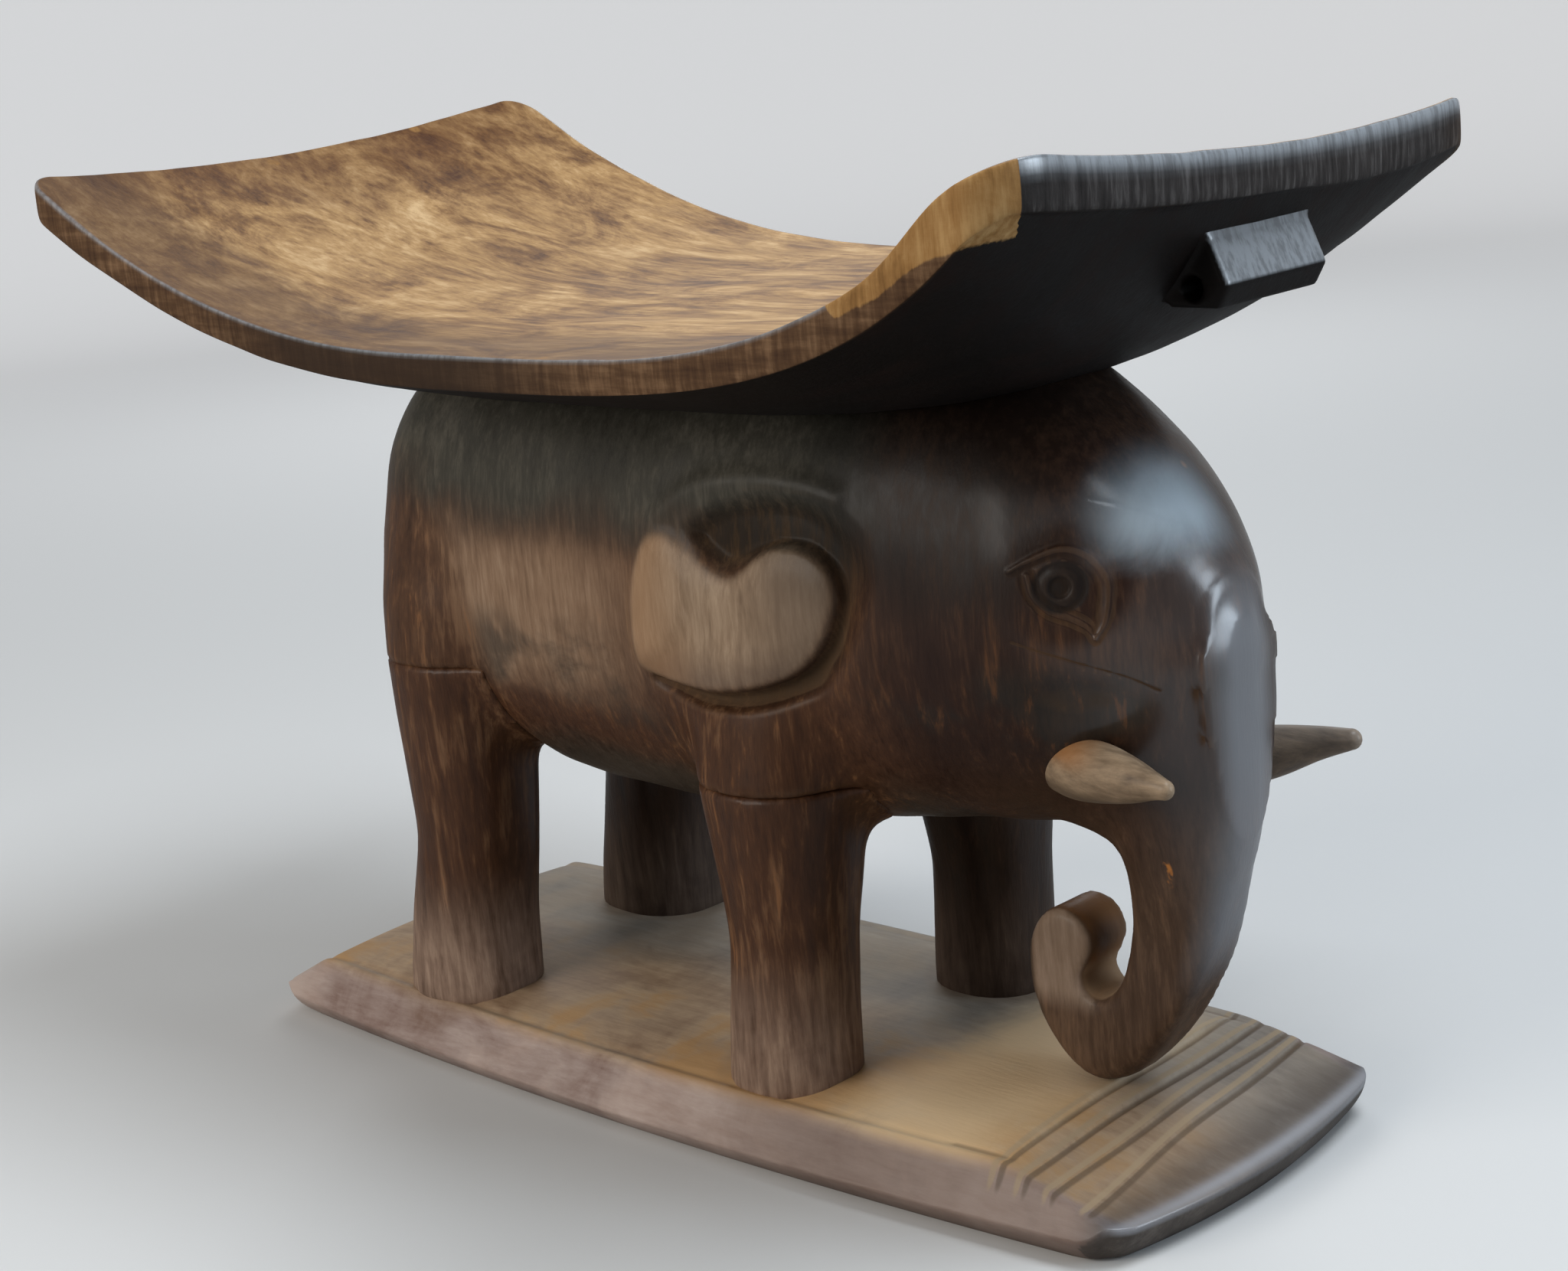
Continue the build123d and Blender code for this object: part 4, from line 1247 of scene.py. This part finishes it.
def make_seat():
    """The seat board's mesh with its rim, arris, underside and wear as attributes."""
    half_l, half_w = SEAT_HALF_LENGTH, SEAT_HALF_WIDTH
    plan_x, plan_y = slab_grid(half_l, half_w, SEAT_CORNERS, sine_spread(230), sine_spread(120))
    v = plan_y / half_w
    share = plan_x / half_l
    plan_x = plan_x + share**3 * SEAT_BOW * (1 - v * v) - SEAT_SKEW * v * np.abs(share)

    def rim(q, x, y, out_x, out_y, z_top, z_low):
        """Half a turn flattened in the middle: out by the inset, down from the top to the underside."""
        angle = q * math.pi
        bulge = np.sin(angle) ** 0.35 * RIM_INSET
        drop = 0.5 - 0.5 * np.sign(np.cos(angle)) * np.abs(np.cos(angle)) ** 0.8
        return x + out_x * bulge, y + out_y * bulge, z_top + (z_low - z_top) * drop

    drawn_in = RIM_INSET + RIM_SPARE
    plan_x, plan_y = plan_x * (1 - drawn_in / half_l), plan_y * (1 - drawn_in / half_w)
    points, quads, down = make_slab(plan_x, plan_y, seat_top, seat_underside, rim, 14)
    mesh = new_mesh("seat_board", points, quads)
    x, y, z = points.T
    depth = seat_top(x, -half_w + 0 * y) - z
    wear = np.interp(x, *np.array(WEAR, float).T) - depth
    corner = smoothstep(y, -118, -132) * (x > 200) * (y < -0.9 * x + 118)
    on_top = (down == 0) & (depth > -1)
    set_attribute(mesh, "worn", np.where(on_top, -9, np.where(corner > 0.5, np.clip(wear, -9, 9), -9)))
    set_attribute(mesh, "rim", ((down > 0) & (down < 1)).astype(float))
    # Mask for the painted highlight along the top arris, wider at the near front corner.
    front = smoothstep(x, 262, 272) * smoothstep(y, -146, -138)
    reach = 0.16 + 0.22 * front
    arris_highlight = smoothstep(np.abs(down - 0.1), reach, 0.3 * reach) * (down > 0)
    set_attribute(mesh, "arris", arris_highlight * (0.75 + 0.5 * front))
    set_attribute(mesh, "underside", smoothstep(down, 0.84, 0.97))
    return mesh


def make_base():
    """The base slab's mesh; its grid is crowded at the stair, and each foot and the trunk's tip shelter wood
    round them, which is darkened as painted shade.
    """
    half = (BASE_HIGH - BASE_LOW) / 2
    middle = (BASE_HIGH + BASE_LOW) / 2
    corners = {(sx, sy): (BASE_CORNER, BASE_CORNER) for sx in (-1, 1) for sy in (-1, 1)}
    coarse = np.linspace(-half[0], STAIR_START, 215, endpoint=False)
    along = np.concatenate([coarse, np.linspace(STAIR_START, half[0], 125)]) / half[0]
    plan_x, plan_y = slab_grid(half[0], half[1], corners, along, sine_spread(116))
    u, v = plan_x / half[0], plan_y / half[1]
    plan_x = middle[0] + plan_x - BASE_BOW * u * v * v
    plan_y = plan_y - BASE_BOW * v * u * u

    def rim(q, x, y, out_x, out_y, z_top, z_low):
        """From the toe back under to the floor, drawn in as it goes down."""
        draw = BASE_UNDERCUT * q**1.6
        return x - out_x * draw, y - out_y * draw, z_top * (1 - q)

    points, quads, down = make_slab(plan_x, plan_y, base_top, lambda x, y: 0 * x, rim)
    count = plan_x.size
    lower = points[count : 2 * count]
    pull = 1 - BASE_UNDERCUT / half[:2]
    lower[:, 0] = middle[0] + (lower[:, 0] - middle[0]) * pull[0]
    lower[:, 1] *= pull[1]
    mesh = new_mesh("base_slab", points, quads)
    x, y = points[:, 0], points[:, 1]
    shelter = np.exp(-np.hypot((x - 186) / 22, y / 16) ** 2)
    for place, (side, end) in LEGS.items():
        centre = leg_centre(place)
        foot_x, foot_y = centre[0] + LEG_SHAPE[end][0][3], centre[1] + SIDES[side] * LEG_LEAN
        away = np.hypot((x - foot_x) / LEG_SHAPE[end][0][1], (y - foot_y) / LEG_SHAPE[end][0][2])
        shelter = np.maximum(shelter, smoothstep(away, 1.5, 0.95))
    half_x, half_y = base_half_sizes(x, y)
    ridge = sum(bell(x - riser_line(*ends, y) + 1.8, 1.7) for ends in RISERS)
    cut = sum(bell(x - riser_line(*ends, y) - 1.6, 1.7) for ends in RISERS)
    inside = smoothstep(half_y - np.abs(y), 4, 10) * (down == 0)
    front = half_x - x + middle[0]
    set_attribute(mesh, "stair", (ridge - cut) * inside)
    set_attribute(mesh, "endface", smoothstep(down, 0.02, 0.2) * (x > 236) * (np.abs(y) < half_y - 2))
    set_attribute(mesh, "arris", bell(front - 3.5, 3.2) * (down < 0.2))
    set_attribute(mesh, "shelter", shelter)
    edge = np.maximum(smoothstep(half_y - np.abs(y), 14, 9), (down > 0) * 1.0)
    set_attribute(mesh, "edge", edge * (x < 262))
    return mesh


# Section of the lug seen from the side: three cut faces below the board
LUG = ((247, 380), (251, 352), (257, 345), (277, 344.6), (282, 353), (277, 365), (270, 380))
LUG_SIDES = (-29.0, 34.0)
LUG_BOX = ((238, -40, 338), (288, 46, 400))
LUG_CELL = 1.2

# Place of the bore's line in side view, then its radius
BORE = (267.0, 352.0, 4.5)


def make_lug():
    """The pierced lug: its section carried across, a small fillet at the board, less the bore."""
    starts, (x, y, z) = field_axes(*LUG_BOX, LUG_CELL)
    section = outline_distance(x[:, :, 0], z[0], np.array(LUG, float))[:, None, :]
    middle, half = sum(LUG_SIDES) / 2, (LUG_SIDES[1] - LUG_SIDES[0]) / 2
    block = smooth_max(section, np.abs(y - middle) - half, 3.0)
    board = seat_underside(x, y) + 1.5 - z
    field = smooth_min(block, board * 0.8, 4)
    field = np.maximum(field, -(board + 3))
    field = np.maximum(field, smooth_max(np.abs(x - 264) - 22, np.abs(y - middle) - half - 5, 5))
    field = np.maximum(field, x + 0.8 * (z - 366) - 279 + 0 * y)
    bore = np.hypot(x - BORE[0], z - BORE[1]) - BORE[2] + 0 * y
    field = smooth_max(field, -bore, 1.2)
    mesh = carve("lug", field, starts, LUG_CELL)
    points, normals = read_points(mesh), read_normals(mesh)
    # The lug is marked as underside for painted shade, and its upper front facet as arris for a painted
    # highlight.
    highlight_facet = smoothstep(normals[:, 0], 0.6, 0.85) * smoothstep(normals[:, 2], 0.0, 0.2)
    set_attribute(mesh, "underside", np.ones(len(points)))
    set_attribute(mesh, "worn", np.full(len(points), -9.0))
    set_attribute(mesh, "arris", highlight_facet * smoothstep(points[:, 2], 350, 353))
    return mesh


# ---- settings and operators ----


def length_property(name, description, default, **limits):
    return FloatProperty(name=name, description=description, default=default, unit="LENGTH", **limits)


def colour_property(name, description, default):
    return FloatVectorProperty(
        name=name, description=description, default=default, subtype="COLOR", min=0, max=1
    )


class StoolSizes(bpy.types.PropertyGroup):
    cell: length_property(
        "Carving Cell", "Size of one cell of the carved surfaces", 0.0026, min=0.0015, max=0.006
    )
    ear_relief: length_property("Ear Relief", "How far the ears stand out", 0.0030)
    ear_hollow: length_property("Ear Hollow", "Depth of the cut round the lobe of the ear", 0.0060)
    eye_relief: length_property("Eye Relief", "Height of the eyelids", 0.0009)
    tool_marks: length_property("Tool Marks", "Unevenness left by hand tools", 0.0006)


class StoolColours(bpy.types.PropertyGroup):
    body: colour_property("Body", "Middle tone of the elephant", (0.078, 0.034, 0.017))
    leg: colour_property("Legs", "Middle tone of the legs", (0.068, 0.027, 0.011))
    seat: colour_property("Seat", "Pale tone of the worn seat", (0.42, 0.245, 0.1))
    base: colour_property("Base", "Middle tone of the slab", (0.43, 0.3, 0.19))
    tusk: colour_property("Tusks", "Middle tone of the tusks", (0.25, 0.175, 0.11))


# Seeds of the tool marks, and the seat's own grain: marks run on along the board
BODY_SEED, SEAT_SEED, TUSK_SEED = 3, 8, 5
SEAT_GRAIN = (0.6, 1, 1)


class STOOL_OT_elephant(bpy.types.Operator):
    """Carves the elephant's body and legs from distance fields"""

    bl_idname = "stool.elephant"
    bl_label = "Elephant"

    def execute(self, context):
        sizes = context.scene.stool_sizes
        cell = sizes.cell / MM * 1
        body, legs, limbs, starts = elephant_fields(cell)
        depth = sizes.tool_marks / MM
        mesh = carve("body_carving", body, starts, cell)
        limb = smoothstep(sample(limbs, (read_points(mesh) - starts) / cell), *LIMB_FADE)
        set_attribute(mesh, "limb", limb)
        work_by_hand(mesh, depth, BODY_SEED)
        carve_relief(mesh, sizes)
        finish_piece("body_carving", mesh, "body_wood", "elephant_body")
        for place, field in legs.items():
            mesh = carve(f"{place}_leg_carving", field, starts, cell)
            work_by_hand(mesh, depth, BODY_SEED)
            finish_piece(f"{place}_leg_carving", mesh, "leg_wood", f"{place}_leg")
        return {"FINISHED"}


class STOOL_OT_seat(bpy.types.Operator):
    """Shapes the hollowed seat board and its pierced lug"""

    bl_idname = "stool.seat"
    bl_label = "Seat"

    def execute(self, context):
        mesh = make_seat()
        work_by_hand(mesh, context.scene.stool_sizes.tool_marks / MM, SEAT_SEED, SEAT_GRAIN)
        finish_piece("seat_board", mesh, "seat_wood", "seat")
        finish_piece("seat_lug", make_lug(), "seat_wood", "seat")
        return {"FINISHED"}


class STOOL_OT_base(bpy.types.Operator):
    """Shapes the stepped base slab"""

    bl_idname = "stool.base"
    bl_label = "Base"

    def execute(self, context):
        finish_piece("base_slab", make_base(), "base_wood", "base")
        return {"FINISHED"}


class STOOL_OT_tusks(bpy.types.Operator):
    """Shapes the two blunt tusks"""

    bl_idname = "stool.tusks"
    bl_label = "Tusks"

    def execute(self, context):
        for side, stations in TUSKS.items():
            mesh = tusk_mesh(f"{side}_tusk_carving", stations)
            work_by_hand(mesh, TUSK_MARKS, TUSK_SEED)
            finish_piece(f"{side}_tusk_carving", mesh, "tusk_wood", f"{side}_tusk")
        return {"FINISHED"}


class STOOL_OT_dowels(bpy.types.Operator):
    """Finishes the dowels inside the joints"""

    bl_idname = "stool.dowels"
    bl_label = "Dowels"

    def execute(self, context):
        for place in LEGS:
            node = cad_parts[f"{place}_dowel"]
            node.data.materials.clear()
            node.data.materials.append(material("dowel_wood"))
        return {"FINISHED"}


CAMERA_AZIMUTH, CAMERA_ELEVATION, CAMERA_ROLL = 45.055, 13.671, -5.5
CAMERA_PLACE = (0.8205, -0.7945, 0.4705)
LENS = 62.36
FLOOR_COLOUR = (0.66, 0.655, 0.645)
FLOOR_LIGHT = (0.3, 0.3, 0.3)
WALL_GLOW = (0.42, 0.42, 0.425)

# Name, place, size, power and colour of each soft lamp
LIGHTS = (
    ("front", (-0.6, -2.3, 1.15), (1.7, 1.3), 39.0, (1.0, 0.95, 0.88)),
    ("top", (0.75, 0.2, 2.0), (0.9, 0.9), 27.0, (0.86, 0.93, 1.0)),
    ("side", (2.2, 1.0, 0.7), (0.8, 1.2), 22.0, (0.76, 0.88, 1.0)),
    ("back", (-1.5, 1.6, 1.3), (1.2, 1.2), 12.0, (0.92, 0.96, 1.0)),
)


def look_along(direction):
    """A turn whose -Z points along direction."""
    return direction.to_track_quat("-Z", "Y").to_matrix().to_4x4()


class STOOL_OT_stage(bpy.types.Operator):
    """Sets the camera, the floor, the soft lights and the world"""

    bl_idname = "stool.stage"
    bl_label = "Stage"

    def execute(self, context):
        scene = context.scene
        scene.view_settings.view_transform = "Standard"
        self.add_camera(scene)
        self.add_floor(scene)
        self.add_lights(scene)
        self.add_world(scene)
        return {"FINISHED"}

    def add_camera(self, scene):
        azimuth, elevation, roll = map(math.radians, (CAMERA_AZIMUTH, CAMERA_ELEVATION, CAMERA_ROLL))
        turn = Matrix.Rotation(azimuth, 4, "Z") @ Matrix.Rotation(math.pi / 2 - elevation, 4, "X")
        turn = turn @ Matrix.Rotation(roll, 4, "Z")
        camera = bpy.data.objects.new("camera", bpy.data.cameras.new("camera"))
        camera.data.lens = LENS
        camera.matrix_world = Matrix.Translation(CAMERA_PLACE) @ turn
        scene.collection.objects.link(camera)
        scene.camera = camera

    def add_floor(self, scene):
        """A bowl: a flat floor that turns up into a round wall far from the stool."""
        turn = np.linspace(0, math.pi / 2, 25)
        flat, bend, wall = 3200.0, 1600.0, 3600.0
        radius = np.concatenate([np.linspace(1, flat, 30)[:-1], flat + bend * np.sin(turn), [flat + bend]])
        height = np.concatenate([np.zeros(29), bend * (1 - np.cos(turn)), [wall]]) - 0.2
        around = np.linspace(0, 2 * math.pi, 97)[:-1]
        points = (radius[:, None, None] * np.stack([np.cos(around), np.sin(around)], -1)).reshape(-1, 2)
        points = np.column_stack([points, np.repeat(height, len(around))])
        index = np.arange(len(points)).reshape(len(radius), -1)
        wrapped = np.column_stack([index, index[:, 0]])
        mesh = new_mesh("floor", points, grid_quads(wrapped))
        shade_smooth(mesh)
        floor = bpy.data.objects.new("floor", mesh)
        scene.collection.objects.link(floor)
        finish = Finish("floor", Roughness=0.95, Specular_IOR_Level=0.1)
        path = finish.add("ShaderNodeLightPath")
        rays = ("Is Camera Ray", "Is Glossy Ray", "Is Transmission Ray")
        seen = [Value(finish.tree, path.outputs[key]) for key in rays]
        shown = (seen[0] + seen[1] * 0.4 + seen[2]).clamp()
        finish.link("Base Color", finish.mix(shown, FLOOR_LIGHT, FLOOR_COLOUR))
        away = finish.read("ShaderNodeVectorMath", "Value", {"operation": "LENGTH"}, i0=finish.place)
        finish.link("Emission Color", finish.mix(shown * finish.ease(away, 0.8, 4.0), (0, 0, 0), WALL_GLOW))
        finish.shader.inputs["Emission Strength"].default_value = 1.0
        mesh.materials.append(finish.material)

    def add_lights(self, scene):
        for name, place, size, power, colour in LIGHTS:
            light = bpy.data.lights.new(name, "AREA")
            light.shape = "RECTANGLE"
            light.size, light.size_y = size
            light.energy = power
            light.color = colour
            lamp = bpy.data.objects.new(name, light)
            lamp.visible_camera = False
            lamp.matrix_world = Matrix.Translation(place) @ look_along(Vector((0, 0, 0.2)) - Vector(place))
            scene.collection.objects.link(lamp)

    def add_world(self, scene):
        world = bpy.data.worlds.new("studio")
        world.use_nodes = True
        world.node_tree.nodes["Background"].inputs[0].default_value = (0.8, 0.85, 0.9, 1)
        world.node_tree.nodes["Background"].inputs[1].default_value = 0.45
        scene.world = world


class STOOL_PT_panel(bpy.types.Panel):
    """The stool's sizes, colours and builders"""

    bl_idname = "STOOL_PT_panel"
    bl_label = "Carved Stool"
    bl_space_type = "VIEW_3D"
    bl_region_type = "UI"
    bl_category = "Stool"

    def draw(self, context):
        for key in StoolSizes.__annotations__:
            self.layout.prop(context.scene.stool_sizes, key)
        for key in StoolColours.__annotations__:
            self.layout.prop(context.scene.stool_colours, key)
        for operator in OPERATORS:
            self.layout.operator(operator.bl_idname)


OPERATORS = (
    STOOL_OT_stage,
    STOOL_OT_elephant,
    STOOL_OT_seat,
    STOOL_OT_base,
    STOOL_OT_tusks,
    STOOL_OT_dowels,
)
CLASSES = (StoolSizes, StoolColours, *OPERATORS, STOOL_PT_panel)


def register():
    for item in CLASSES:
        bpy.utils.register_class(item)
    bpy.types.Scene.stool_sizes = PointerProperty(type=StoolSizes)
    bpy.types.Scene.stool_colours = PointerProperty(type=StoolColours)


def unregister():
    del bpy.types.Scene.stool_colours
    del bpy.types.Scene.stool_sizes
    for item in reversed(CLASSES):
        bpy.utils.unregister_class(item)


def main():
    register()
    bpy.ops.stool.stage()
    bpy.ops.stool.elephant()
    bpy.ops.stool.seat()
    bpy.ops.stool.base()
    bpy.ops.stool.tusks()
    bpy.ops.stool.dowels()


if __name__ == "__main__":
    main()
